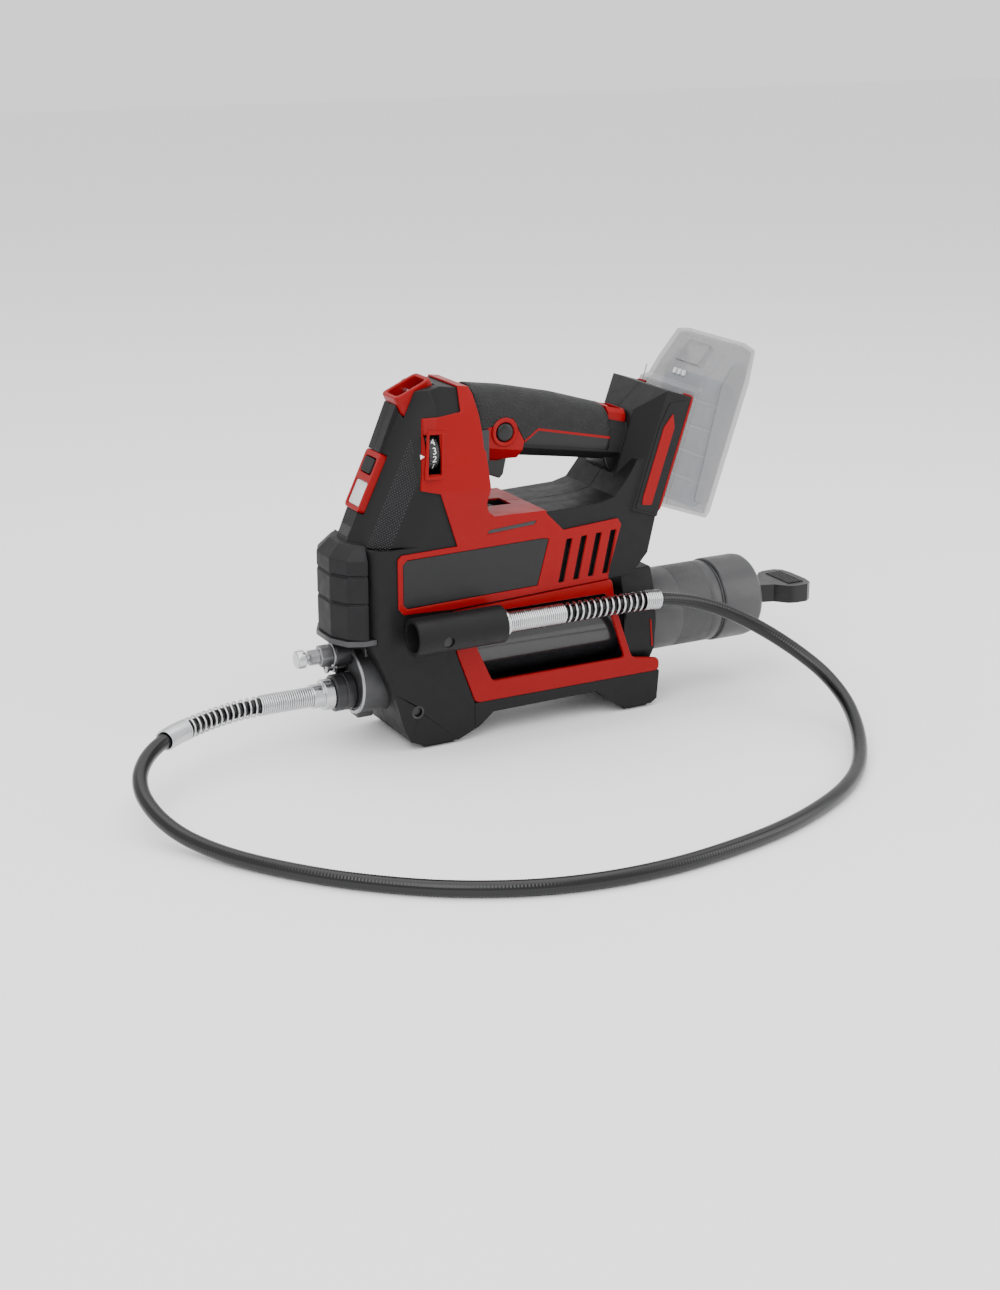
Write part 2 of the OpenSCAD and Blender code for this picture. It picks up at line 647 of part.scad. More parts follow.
// --- parked coupler --------------------------------------------------------
park_y = -51;
park_z = 90.5;
holder_x0 = -29;
holder_x1 = 40;
module at_park() translate([0, park_y, park_z]) children();
module coupler_holder()
    color(black) difference() {
        union() {
            at_park() rod_x(holder_x0, holder_x1, holder_r);
            box([holder_x0 + 8, park_y + 6, park_z - 7],
                [6, -half_w - 0.1, park_z + 8]);
        }
        at_park() rod_x(holder_x0 - 1, holder_x1 - 4, holder_r - 3);
        at_park() rod_x(holder_x0 - 1, holder_x1 + 1, 8.6);
        at_park() translate([-7, 0, -3]) rod_y(-30, 0, 4);
        core_solid(-0.05);
    }
module coupler()
    color(steel) at_park() difference() {
        union() {
            rod_x(-16, 14, 7.6);
            rod_x(14 - eps, 40.4, 6.5);
            rod_x(40.3, 44, 9.4);
        }
        rod_x(-20, -6, 4.2);
        rod_x(-20, 50, 1.5);
        rod_x(42, 50, hose_d / 2 + 0.02);
    }

// --- barrel ----------------------------------------------------------------
module at_barrel() translate([0, 0, barrel_z]) children();
module barrel_tube()
    color("#1d1d20") at_barrel() difference() {
        rod_x(-3.8, barrel_end - 8, barrel_r);
        rod_x(-10, barrel_end, barrel_r - barrel_wall);
    }
module barrel_sleeve()
    color(grey) at_barrel() difference() {
        rod_x(saddle_x1 + 1, barrel_end - cap_len, barrel_r + 2);
        rod_x(0, barrel_end, barrel_r + fit);
    }
module end_cap()
    color(grey) at_barrel() difference() {
        union() {
            rod_x(barrel_end - cap_len + 1.2, barrel_end, barrel_r + 3);
            rod_x(barrel_end - cap_len + eps, barrel_end - cap_len + 2, barrel_r + 1.6);
        }
        rod_x(0, barrel_end - 8 + 0.05, barrel_r + fit);
        rod_x(0, barrel_end + 2, rod_r + 0.1);
    }
module follower_rod()
    color(steel) at_barrel() rod_x(16.5, barrel_end + 12, rod_r);
module t_handle()
    color("#222224") translate([barrel_end, 0, barrel_z]) difference() {
        union() {
            rod_x(1, 12, 8.5);
            translate([0, 0, -7]) linear_extrude(height = 14)
                mirrored_polygon([[8, 8], [22, 12], [30, 21], [36, 23], [46, 23], [51, 19],
                    [53, 10]]);
        }
        rod_x(-10, 12 + eps, rod_r + fit);
    }
module follower_piston()
    color("#3a3a3e") at_barrel() difference() {
        union() {
            rod_x(4, 8, barrel_r - barrel_wall - gap);
            rod_x(7.9, 13, barrel_r - barrel_wall - 3);
            rod_x(12.9, 16, barrel_r - barrel_wall - gap);
            rod_x(15.9, 24, 8);
        }
        rod_x(16.4, 40, rod_r + fit);
    }
spring_turns = 15;
spring_r = barrel_r - barrel_wall - 4;
module main_spring() {
    color(steel) at_barrel() {
        p = [for (i = [0:spring_turns * 10])
            [18.2 + (barrel_end - 10 - 18.2) * i / (spring_turns * 10),
             spring_r * cos(36 * i), spring_r * sin(36 * i)]];
        coil(p, 1.5, 6);
    }
}
// Wire swept along the points p of a coil about the x axis
module coil(p, r, sides) {
    n = len(p) - 1;
    pts = [for (i = [0:n]) let (
        a = p[max(i - 1, 0)], b = p[min(i + 1, n)], dir = unit(b - a),
        out = unit([0, p[i][1], p[i][2]]), side = unit(cross(dir, out)), up = cross(side, dir))
        each [for (k = [0:sides - 1]) p[i] + r * cos(360 * k / sides) * side
            + r * sin(360 * k / sides) * up]];
    faces = [for (i = [0:n - 1], k = [0:sides - 1]) let (q = (k + 1) % sides,
        a = i * sides, b = a + sides) each [[a + k, a + q, b + q], [a + k, b + q, b + k]]];
    ends = [[for (k = [sides - 1:-1:0]) k], [for (k = [0:sides - 1]) n * sides + k]];
    polyhedron(points = pts, faces = concat(faces, ends), convexity = 10);
}

// --- controls --------------------------------------------------------------
module trigger()
    color(black) slab(trigger_half) difference() {
        polygon([[38.6, deck_z + 110], [51, deck_z + 110], [66, deck_z + 104],
            [72, deck_z + 104.5], [72, deck_z + 101.5], [67.5, deck_z + 98],
            [65, deck_z + 86.5], [62, deck_z + 83.5], [58, deck_z + 85],
            [52, deck_z + 87.5], [46, deck_z + 88], [42, deck_z + 85.5],
            [39.4, deck_z + 80], [38.6, deck_z + 88]]);
        translate(trigger_pivot) circle(r = 1.5 + fit, $fn = 24);
    }
module trigger_spring()
    color(steel) translate([48.5, 0, deck_z + 110 + eps]) difference() {
        cylinder(h = 3.9, r = 2.4);
        translate([0, 0, -1]) cylinder(h = 8, r = 1.7);
    }
module switch_module()
    color("#26262a") {
        box([74, -10, deck_z + 107.5], [104, 10, deck_z + 124]);
        box([72.6, -4, deck_z + 112], [74.1, 4, deck_z + 116]);
    }
module lock_off_button()
    color("#1f1f22") translate([lock_at[0], 0, lock_at[1]])
        rod_y(-handle_half - 2.6, handle_half - 1, lock_r);
module lock_lever()
    color("#1f1f22") {
        box([34.5, -27.5, deck_z + 107], [38.5, -21, deck_z + 121]);
        box([26, -25.5, deck_z + 112], [34.6, -23, deck_z + 116]);
    }
module speed_dial()
    color("#18181a") translate(dial_at) {
        rod_x(-4, 4, dial_r);
        rod_x(-7, 7, axle_r);
    }
module mode_slider()
    color("#1c1c1e") {
        box([44, -8.8, deck_z + 58.5], [61, 8.8, deck_z + 62]);
        slab(8.8) polygon([[45, deck_z + 61.9], [60, deck_z + 61.9], [54, deck_z + 64.5],
            [49, deck_z + 68], [46, deck_z + 68]]);
    }

// --- battery ---------------------------------------------------------------
module pack_outline()
    polygon([[1.4, 4], [1.4, dock_top + 4], [8, dock_top + 8], [12, pack_len - 21],
        [22, pack_len + 3], [32, pack_len + 5.5], [pack_deep - 6, pack_len + 2],
        [pack_deep + 1, pack_len - 22], [pack_deep, 8], [pack_deep - 5, 3]]);
module pack_solid(inset)
    intersection() {
        slab(pack_half - inset) offset(delta = -inset) pack_outline();
        translate([0, 0, -20]) linear_extrude(height = 300)
            mirrored_polygon([[-5, pack_half - inset], [pack_deep - 9, pack_half - inset],
                [pack_deep + 1.2 - inset, pack_half - 8 - inset]]);
    }
latch_box = [[9, -15.3, pack_len - 22], [26, 15.3, pack_len - 2]];
module at_latch()
    translate([12, 0, pack_len - 21]) rotate([0, atan(10 / 24), 0]) children();
module battery_shell()
    color("#c9c9cc", 0.5) at_dock() difference() {
        union() {
            difference() {
                pack_solid(0);
                pack_solid(2.4);
            }
            box([-neck_deep, -neck_half, 8], [1.5, neck_half, dock_top - 2]);
            box([-neck_deep, -rail_half, 8], [-4.2, rail_half, dock_top - 2]);
        }
        // neck pocket, terminal slots and latch hole
        box([-neck_deep + 2.5, -neck_half + 2.5, 42], [5, neck_half - 2.5, dock_top - 5]);
        for (y = blade_y)
            box([-neck_deep - 1, y - 1.2, 7], [-1.2, y + 1.2, 34]);
        at_latch() box([-10, -15.3, 1.7], [20, 15.3, 19.3]);
    }
module battery_latch()
    color("#a9a9ad") at_dock() at_latch() box([-0.6, -15, 2], [4.4, 15, 19]);
module battery_cells()
    color("#5a7f96") at_dock()
        for (i = [0:4]) translate([min(30, pack_deep - 12), 0, 17 + 19 * i])
            rod_y(-32.5, 32.5, 9.1);
module dock_terminals()
    color("#c9a24a") at_dock() {
        box([-neck_deep - 7.6, -18, 12], [-neck_deep - 3.6, 18, 38]);
        for (y = blade_y)
            box([-neck_deep - 3.7, y - 0.4, 14], [-2.6, y + 0.4, 30]);
    }
module dock_rim()
    color(red) at_dock() difference() {
        box([0.05, -dock_half, 0.2], [1, dock_half, dock_top - 0.2]);
        box([-1, -neck_half - gap, 6], [3, neck_half + gap, 200]);
    }

// --- motor and gears -------------------------------------------------------
module at_motor() translate([0, 0, motor_z]) children();
module motor_stator()
    color("#8a5a34") at_motor() difference() {
        rod_x(0, 42, motor_r);
        rod_x(-1, 43, motor_r - 6);
        for (a = [0:60:300]) rotate([a + 30, 0, 0])
            box([-1, -1.5, motor_r - 9], [43, 1.5, motor_r - 3]);
    }
sun_teeth = 12;
planet_teeth = 18;
ring_teeth = sun_teeth + 2 * planet_teeth;
pressure = 25;
inv_p = tan(pressure) * 180 / PI - pressure;
// Half of a tooth's angle at radius r, thinned by slack
function tooth_half(z, r, slack) =
    let (rp = z * gear_m / 2, rb = rp * cos(pressure), a = acos(min(1, rb / r)))
    90 / z + inv_p - (tan(a) * 180 / PI - a) - slack / rp * 90 / PI;
function gear_points(z, grow, slack) =
    let (rp = z * gear_m / 2, rb = rp * cos(pressure), top = rp + gear_m * 0.9 + grow,
         root = rp - gear_m * 1.15 + grow, low = max(rb, root))
    [for (i = [0:z - 1]) let (c = 360 * i / z) each concat(
        [[root, c - tooth_half(z, low, slack)]],
        [for (s = [0:3]) let (r = low + (top - low) * s / 3) [r, c - tooth_half(z, r, slack)]],
        [for (s = [3:-1:0]) let (r = low + (top - low) * s / 3) [r, c + tooth_half(z, r, slack)]],
        [[root, c + tooth_half(z, low, slack)]])];
module gear(z, grow, slack)
    polygon([for (q = gear_points(z, grow, slack)) q[0] * [cos(q[1]), sin(q[1])]]);
// Extrude a shape drawn in the (y, z) plane between two x places
module extrude_x(x0, x1)
    translate([x0, 0, 0]) rotate([90, 0, 90]) linear_extrude(height = x1 - x0) children();
orbit_r = (sun_teeth + planet_teeth) * gear_m / 2;
module motor_rotor()
    color("#55585c") at_motor() {
        extrude_x(-21, -10.9) gear(sun_teeth, 0, 0.06);
        rod_x(-11, 62, 2.5);
        rod_x(2, 40, motor_r - 7);
        difference() {
            rod_x(47, 54, motor_r - 3);
            for (a = [0:30:330]) rotate([a, 0, 0])
                box([49, -1.2, 6], [60, 3, motor_r]);
        }
    }
module motor_bearings()
    color(steel) at_motor() for (x = bearing_x) difference() {
        rod_x(x, x + bearing_w, bearing_r);
        rod_x(x - 1, x + bearing_w + 1, 2.5 + fit);
    }
module ring_gear()
    color("#7d7f84") at_motor() extrude_x(-23.5, -12) difference() {
        circle(r = case_r - 2 - fit);
        rotate(180 / ring_teeth) gear(ring_teeth, 0.25 * gear_m, -0.06);
    }
planet_turn = 180 / planet_teeth;
module planet(i)
    color("#a3a5a9") at_motor() rotate([120 * i, 0, 0]) translate([0, orbit_r, 0])
        extrude_x(-21.5, -13.5) difference() {
            rotate(planet_turn) gear(planet_teeth, 0, 0.06);
            circle(r = 2 + fit);
        }
module planet_gear_1() planet(0);
module planet_gear_2() planet(1);
module planet_gear_3() planet(2);
module crank_carrier()
    color("#8f9196") at_motor() {
        rod_x(-23, -21.8, orbit_r + 4);
        for (i = [0:2]) rotate([120 * i, 0, 0]) translate([0, orbit_r, 0])
            rod_x(-22, -13.5, 2);
        rod_x(-32, -22.9, 5);
        rod_x(-34.2, -31.9, 11);
        translate([0, crank_throw, 0]) rod_x(-36, -34.1, 2.5);
    }
module pump_yoke()
    color("#b0b2b6") {
        difference() {
            box([crank_x - 2, -13, motor_z - 9], [crank_x + 1.6, 13, motor_z + 9]);
            box([crank_x - 5, -10.5, motor_z - 2.7], [crank_x + 5, 10.5, motor_z + 2.7]);
        }
        translate([crank_x, 0, head_z + 4]) cylinder(h = motor_z - 19 - head_z - 4, r = plunger_r);
        box([crank_x - 2, -plunger_r, motor_z - 20], [crank_x + 1.6, plunger_r, motor_z - 8]);
    }
module control_board()
    color("#1f5a3a") {
        box([70, -28, deck_z + 48], [128, 28, deck_z + 50]);
        box([76, -12, deck_z + 50 - eps], [90, 12, deck_z + 56]);
        box([94, -14, deck_z + 50 - eps], [112, 14, deck_z + 55]);
    }
module screws()
    color(steel) {
        for (s = screw_at) translate([s[0], 0, s[1]]) {
            rod_y(half_w - 4, half_w - 1.6, 3.3);
            rod_y(-half_w + 9, half_w - 3.9, 1.75);
        }
        both_sides() translate([head_screw_at[0], 0, head_screw_at[1]]) {
            rod_y(-half_w + 2.6, -half_w + 5, 3.3);
            rod_y(-half_w + 4.9, -11, 1.75);
        }
    }

left_shell();
right_shell();
left_cover();
right_cover();
badge_plates();
grip_sleeve();
cradle_base();
left_cradle_frame();
right_cradle_frame();
foot_pads();
rear_saddle();
front_eyelet();
rear_eyelet();
strap_pins();
lamp_bezel();
lamp_lens();
lamp_button();
bumper();
gear_case();
pump_head();
outlet_swivel();
outlet_ferrule();
outlet_spring();
hose();
coupler_spring();
coupler();
coupler_holder();
bleeder_body();
bleeder_tip();
fill_nipple();
barrel_tube();
barrel_sleeve();
end_cap();
follower_rod();
t_handle();
follower_piston();
main_spring();
trigger();
trigger_spring();
switch_module();
lock_off_button();
lock_lever();
speed_dial();
mode_slider();
battery_shell();
battery_latch();
battery_cells();
dock_terminals();
dock_rim();
motor_stator();
motor_rotor();
motor_bearings();
ring_gear();
planet_gear_1();
planet_gear_2();
planet_gear_3();
crank_carrier();
pump_yoke();
control_board();
screws();
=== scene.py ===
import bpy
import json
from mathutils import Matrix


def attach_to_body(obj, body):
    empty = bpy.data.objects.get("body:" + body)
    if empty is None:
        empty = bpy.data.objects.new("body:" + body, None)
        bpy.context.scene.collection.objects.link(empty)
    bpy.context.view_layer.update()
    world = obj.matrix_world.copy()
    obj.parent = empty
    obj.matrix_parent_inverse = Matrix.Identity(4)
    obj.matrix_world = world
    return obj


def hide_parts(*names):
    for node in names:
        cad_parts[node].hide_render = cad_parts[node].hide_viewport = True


bl_info = {
    "name": "Grease Gun Builder",
    "version": (1, 0, 0),
    "blender": (4, 5, 0),
    "location": "3D View > Sidebar > Grease Gun",
    "description": "Builds the looks of a cordless grease gun around its packed model",
    "category": "Add Mesh",
}

import json
import math

import bmesh
import bpy
from mathutils import Matrix, Vector

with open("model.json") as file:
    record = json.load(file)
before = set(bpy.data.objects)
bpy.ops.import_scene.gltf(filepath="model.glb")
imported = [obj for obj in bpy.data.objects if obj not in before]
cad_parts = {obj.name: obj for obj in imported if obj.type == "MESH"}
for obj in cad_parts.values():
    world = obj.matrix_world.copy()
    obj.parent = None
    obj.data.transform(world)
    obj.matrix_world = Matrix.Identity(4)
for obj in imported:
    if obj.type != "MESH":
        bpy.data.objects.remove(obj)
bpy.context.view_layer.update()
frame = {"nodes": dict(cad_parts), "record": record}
MM = 0.001
BODY_OF = {
    node: body
    for body, nodes in frame["record"]["behaviour"]["bodies"].items()
    for node in nodes
}

# places on the gun in millimetres: X to the rear, Z up, from the floor under the front foot
FORWARD = (-1, 0, 0)
LEFT = (0, -1, 0)
RIGHT = (0, 1, 0)
OUTLET = (0, 0, 40.5)
FERRULE = (-69.6, 0, 40.5)
HOLDER_LINE = (0, -51, 90.5)
HOLDER_PIN = (-7, -61.6, 87.5)
BARREL_AXIS = (0, 0, 64.5)
HEAD_RIM = (0, 0, 48)
HEAD_PIN = (0, 16.5, 60)
HEAD_SCREW = (-18.5, 0, 29)
BLEEDER = (0, 4, 68)
FILL_PORT = (0, 12, 56)
LOCK_BUTTON = (59, 0, 220)
DIAL = Vector((-2.5, -21.5, 213))
DIAL_RADIUS = 13
COVER_HALF = 37.6
COVER_INSIDE = 35.9
COVER_LEAN = 0.14
COVER_BREAK = 188
CORNER_STEPS = 4
LEAST_RADIUS = 0.002


# --- sizes and colours that a user may change -------------------------------
class FinishSettings(bpy.types.PropertyGroup):
    casing: bpy.props.FloatVectorProperty(
        name="Casing", description="Colour of the dark mouldings",
        subtype="COLOR", default=(0.0045, 0.0045, 0.0052), min=0, max=1,
    )
    accent: bpy.props.FloatVectorProperty(
        name="Accent", description="Colour of the bright covers",
        subtype="COLOR", default=(0.25, 0.0005, 0.0016), min=0, max=1,
    )
    pack: bpy.props.FloatVectorProperty(
        name="Battery", description="Tint of the frosted battery",
        subtype="COLOR", default=(0.3, 0.3, 0.31), min=0, max=1,
    )
    edge: bpy.props.FloatProperty(
        name="Edge radius", description="Rounding of the mouldings' edges",
        unit="LENGTH", default=0.0006, min=0.0002, max=0.002,
    )


class HoseSettings(bpy.types.PropertyGroup):
    diameter: bpy.props.FloatProperty(
        name="Hose diameter", description="Outside diameter of the hose",
        unit="LENGTH", default=0.0105, min=0.006, max=0.016,
    )
    wire: bpy.props.FloatProperty(
        name="Guard wire", description="Radius of the spring guards' wire",
        unit="LENGTH", default=0.0008, min=0.0004, max=0.0012,
    )
    guard: bpy.props.FloatProperty(
        name="Guard radius", description="Outside radius of the spring guards",
        unit="LENGTH", default=0.00745, min=0.006, max=0.01,
    )
    open_pitch: bpy.props.FloatProperty(
        name="Open pitch", description="Pitch of the open-wound turns",
        unit="LENGTH", default=0.005, min=0.002, max=0.006,
    )


class StageSettings(bpy.types.PropertyGroup):
    lens: bpy.props.FloatProperty(
        name="Lens", description="Focal length in millimetres", default=57.9,
        min=20, max=200,
    )
    key: bpy.props.FloatProperty(
        name="Key light", description="Power of the main light", subtype="POWER",
        default=22, min=0, max=400,
    )
    floor: bpy.props.FloatVectorProperty(
        name="Floor", description="Colour of the floor", subtype="COLOR",
        default=(0.95, 0.95, 0.95), min=0, max=1,
    )


# --- mesh building, in millimetres ------------------------------------------
def new_object(name, mesh):
    obj = bpy.data.objects.new(name, mesh)
    bpy.context.scene.collection.objects.link(obj)
    return obj


def from_bmesh(name, bm):
    bmesh.ops.recalc_face_normals(bm, faces=bm.faces)
    mesh = bpy.data.meshes.new(name)
    bm.to_mesh(mesh)
    bm.free()
    return new_object(name, mesh)


def loft(name, rings, closed=False):
    """Skin over rings of points, given in millimetres; closed joins the last to the first."""
    bm = bmesh.new()
    rows = [[bm.verts.new(Vector(p) * MM) for p in ring] for ring in rings]
    count = len(rows)
    for i in range(count if closed else count - 1):
        a, b = rows[i], rows[(i + 1) % count]
        n = len(a)
        for k in range(n):
            bm.faces.new((a[k], a[(k + 1) % n], b[(k + 1) % n], b[k]))
    if not closed:
        bm.faces.new(list(reversed(rows[0])))
        bm.faces.new(rows[-1])
    return from_bmesh(name, bm)


DRAWN_ALONG = {
    "X": lambda p, t: (t, p[0], p[1]),
    "Y": lambda p, t: (p[0], t, p[1]),
    "Z": lambda p, t: (p[0], p[1], t),
}


def prism(name, points, low, high, axis="Y"):
    """Flat outline drawn out along an axis: (x, z) along Y, (y, z) along X, (x, y) along Z."""
    place = DRAWN_ALONG[axis]
    return loft(name, [[place(p, t) for p in points] for t in (low, high)])


def turned(name, profile, at, axis=(1, 0, 0), sides=64, ring=False):
    """Turned solid from (distance, radius) pairs; as a ring, the last pair meets the first."""
    axis = Vector(axis).normalized()
    side = axis.cross(Vector((0, 0, 1)))
    side = side.normalized() if side.length > 0.1 else Vector((0, 1, 0))
    up = side.cross(axis)
    at = Vector(at)
    rings = []
    for d, r in profile:
        rings.append([
            at + axis * d
            + (side * math.cos(a) + up * math.sin(a)) * max(r, LEAST_RADIUS)
            for a in (2 * math.pi * k / sides for k in range(sides))
        ])
    return loft(name, rings, closed=ring)


def carve(obj, tool):
    """Cut the tool's shape out of an object; the tool goes away."""
    cut = obj.modifiers.new("cut", "BOOLEAN")
    cut.operation, cut.object, cut.solver = "DIFFERENCE", tool, "EXACT"
    apply_all(obj)
    bpy.data.objects.remove(tool)
    return obj


def apply_all(obj):
    """Turn an object's modifiers into its mesh."""
    bpy.context.view_layer.update()
    graph = bpy.context.evaluated_depsgraph_get()
    mesh = bpy.data.meshes.new_from_object(obj.evaluated_get(graph))
    obj.modifiers.clear()
    obj.data = mesh
    return obj


def soften(obj, width=None, segments=2, angle=32, clamp=True):
    """Round the edges and shade smooth up to an angle."""
    if width is None:
        width = bpy.context.scene.gun_finish.edge
    bevel = obj.modifiers.new("edges", "BEVEL")
    bevel.width, bevel.segments = width, segments
    bevel.limit_method, bevel.angle_limit = "ANGLE", math.radians(angle)
    bevel.use_clamp_overlap = clamp
    apply_all(obj)
    shade(obj, angle)
    level = obj.modifiers.new("level", "WEIGHTED_NORMAL")
    level.keep_sharp = True
    return apply_all(obj)


def shade(obj, angle=32):
    """Shade smooth, with sharp edges above an angle."""
    obj.data.polygons.foreach_set("use_smooth", [True] * len(obj.data.polygons))
    obj.data.set_sharp_from_angle(angle=math.radians(angle))
    return obj


# nodes with short edges that would hold their rounding back
LOOSE_EDGES = {"left_shell", "right_shell", "left_cover", "right_cover", "rear_eyelet",
               "gear_case", "pump_head", "battery_shell"}
WELD = 2e-6


def moulded(node, width=None, segments=2, angle=32):
    """Copy of a CAD node, welded and with its edges rounded, that stands for the node."""
    bm = bmesh.new()
    bm.from_mesh(frame["nodes"][node].data)
    bmesh.ops.remove_doubles(bm, verts=bm.verts, dist=WELD)
    obj = from_bmesh(node + ".finish", bm)
    soften(obj, width, segments, angle, clamp=node not in LOOSE_EDGES)
    settle(obj, node)
    return obj


def settle(obj, node):
    """Ride on a node's body and stand for the node."""
    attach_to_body(obj, BODY_OF[node])
    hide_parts(node)
    return obj


def attach(obj, body):
    """Ride on a body as a piece that no node stands for."""
    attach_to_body(obj, body)
    return obj


def paint(obj, material):
    obj.data.materials.clear()
    obj.data.materials.append(material)
    return obj


# --- materials --------------------------------------------------------------
def node_material(name):
    """Material of this name, and its tree if it is new."""
    name += "_finish"
    old = bpy.data.materials.get(name)
    if old:
        return old, None
    mat = bpy.data.materials.new(name)
    mat.use_nodes = True
    return mat, mat.node_tree


def add(tree, kind, **values):
    node = tree.nodes.new(kind)
    for key, value in values.items():
        if key in node.inputs:
            node.inputs[key].default_value = value
        else:
            setattr(node, key.lower(), value)
    return node


def surface(name, colour, second=None, rough=(0.4, 0.55), metallic=0.0, grain=0.0005,
            bump=0.15, depth=0.0002, patch=0.03, coat=0.0, kind="noise", specular=0.5):
    """Opaque finish: two close colours in patches, varied gloss and a fine raised grain."""
    mat, tree = node_material(name)
    if tree is None:
        return mat
    shader = tree.nodes["Principled BSDF"]
    shader.inputs["Metallic"].default_value = metallic
    shader.inputs["Specular IOR Level"].default_value = specular
    shader.inputs["Coat Weight"].default_value = coat
    shader.inputs["Coat Roughness"].default_value = 0.12
    second = second or tuple(c * 0.82 + 0.002 for c in colour)
    place = add(tree, "ShaderNodeTexCoord")
    link = tree.links.new
    blotch = add(tree, "ShaderNodeTexNoise", Scale=1 / patch, Detail=3.0)
    link(place.outputs["Object"], blotch.inputs["Vector"])
    mix = add(tree, "ShaderNodeMix", data_type="RGBA")
    mix.inputs["A"].default_value = (*colour, 1)
    mix.inputs["B"].default_value = (*second, 1)
    link(blotch.outputs["Fac"], mix.inputs["Factor"])
    link(mix.outputs["Result"], shader.inputs["Base Color"])
    gloss = add(tree, "ShaderNodeMapRange")
    gloss.inputs["From Min"].default_value = 0.3
    gloss.inputs["From Max"].default_value = 0.7
    gloss.inputs["To Min"].default_value = rough[0]
    gloss.inputs["To Max"].default_value = rough[1]
    fine = add(tree, "ShaderNodeTexNoise", Scale=1 / (patch * 0.3), Detail=4.0)
    link(place.outputs["Object"], fine.inputs["Vector"])
    link(fine.outputs["Fac"], gloss.inputs["Value"])
    link(gloss.outputs["Result"], shader.inputs["Roughness"])
    if kind == "cells":
        raised = add(tree, "ShaderNodeTexVoronoi", Scale=1 / grain)
        out = "Distance"
    elif kind == "lines":
        raised = add(tree, "ShaderNodeTexWave", Scale=1 / (grain * 6.2832) * 3.1416,
                     Distortion=0.0)
        raised.bands_direction = "X"
        out = "Fac"
    else:
        raised = add(tree, "ShaderNodeTexNoise", Scale=1 / grain, Detail=2.0)
        out = "Fac"
    link(place.outputs["Object"], raised.inputs["Vector"])
    relief = add(tree, "ShaderNodeBump", Strength=bump, Distance=depth)
    link(raised.outputs[out], relief.inputs["Height"])
    link(relief.outputs["Normal"], shader.inputs["Normal"])
    return mat


def frosted(name, colour, rough=0.35, alpha=0.5):
    """Pale see-through moulding with a faint cloudiness."""
    mat, tree = node_material(name)
    if tree is None:
        return mat
    shader = tree.nodes["Principled BSDF"]
    shader.inputs["Roughness"].default_value = rough
    shader.inputs["IOR"].default_value = 1.46
    place = add(tree, "ShaderNodeTexCoord")
    cloud = add(tree, "ShaderNodeTexNoise", Scale=45.0, Detail=3.0)
    tree.links.new(place.outputs["Object"], cloud.inputs["Vector"])
    mix = add(tree, "ShaderNodeMix", data_type="RGBA")
    mix.inputs["A"].default_value = (*colour, 1)
    mix.inputs["B"].default_value = (*(c * 0.86 for c in colour), 1)
    tree.links.new(cloud.outputs["Fac"], mix.inputs["Factor"])
    tree.links.new(mix.outputs["Result"], shader.inputs["Base Color"])
    shader.inputs["Alpha"].default_value = alpha
    grain = add(tree, "ShaderNodeTexNoise", Scale=1800.0, Detail=2.0)
    tree.links.new(place.outputs["Object"], grain.inputs["Vector"])
    relief = add(tree, "ShaderNodeBump", Strength=0.12, Distance=0.0002)
    tree.links.new(grain.outputs["Fac"], relief.inputs["Height"])
    tree.links.new(relief.outputs["Normal"], shader.inputs["Normal"])
    return mat


def casing():
    return surface("casing", tuple(bpy.context.scene.gun_finish.casing), rough=(0.42, 0.56),
                   grain=0.0006, bump=0.25, depth=0.00012, specular=0.22)


def smooth_casing():
    return surface("smooth_casing", tuple(bpy.context.scene.gun_finish.casing), rough=(0.3, 0.4),
                   grain=0.0012, bump=0.05, specular=0.35)


def accent():
    return surface("accent", tuple(bpy.context.scene.gun_finish.accent), rough=(0.3, 0.42),
                   grain=0.0008, bump=0.08, depth=0.0001, patch=0.05, specular=0.16)


def rubber():
    return surface("rubber", (0.008, 0.008, 0.009), rough=(0.5, 0.62), grain=0.0005, bump=0.3,
                   depth=0.00015, specular=0.22)


# Painted highlight: the raised dots get a lighter grey than the dark nose, which stands in for
# the glints on them.
def highlit_dot_rubber():
    return surface("highlit_dot_rubber", (0.035, 0.035, 0.038), rough=(0.4, 0.5), grain=0.0005, bump=0.1,
                   depth=0.0001, specular=0.4)


def grip_rubber():
    return surface("grip_rubber", (0.004, 0.004, 0.0048), rough=(0.5, 0.65), grain=0.0016,
                   bump=0.9, depth=0.0005, specular=0.35, kind="cells")


def bright_steel():
    return surface("bright_steel", (0.62, 0.63, 0.64), (0.5, 0.5, 0.52), rough=(0.16, 0.3),
                   metallic=1.0, grain=0.0009, bump=0.06, patch=0.012)


def machined():
    return surface("machined", (0.4, 0.4, 0.41), (0.3, 0.3, 0.31), rough=(0.28, 0.42),
                   metallic=1.0, grain=0.0005, bump=0.1, patch=0.01)


def cast_metal():
    return surface("cast_metal", (0.09, 0.09, 0.094), (0.065, 0.065, 0.068), rough=(0.42, 0.55),
                   metallic=0.85, grain=0.0007, bump=0.2, patch=0.01)


def black_oxide():
    return surface("black_oxide", (0.018, 0.018, 0.02), (0.03, 0.03, 0.032), rough=(0.28, 0.4),
                   metallic=0.3, grain=0.0006, bump=0.1, patch=0.01)


def barrel_paint():
    return surface("barrel_paint", (0.012, 0.012, 0.013), (0.016, 0.016, 0.018),
                   rough=(0.16, 0.24), metallic=0.1, grain=0.002, bump=0.04, coat=0.5)


def hose_cover():
    return surface("hose_cover", (0.003, 0.003, 0.0035), (0.005, 0.005, 0.0055),
                   rough=(0.12, 0.2), grain=0.0009, bump=0.1, depth=0.0001, specular=0.4)


def sleeve_grip():
    return surface("sleeve_grip", (0.034, 0.034, 0.036), (0.042, 0.042, 0.044), rough=(0.36, 0.5),
                   grain=0.0009, bump=0.12, depth=0.0001)


def copper():
    return surface("copper", (0.55, 0.22, 0.1), rough=(0.3, 0.45), metallic=1.0, grain=0.0008,
                   bump=0.3, kind="lines")


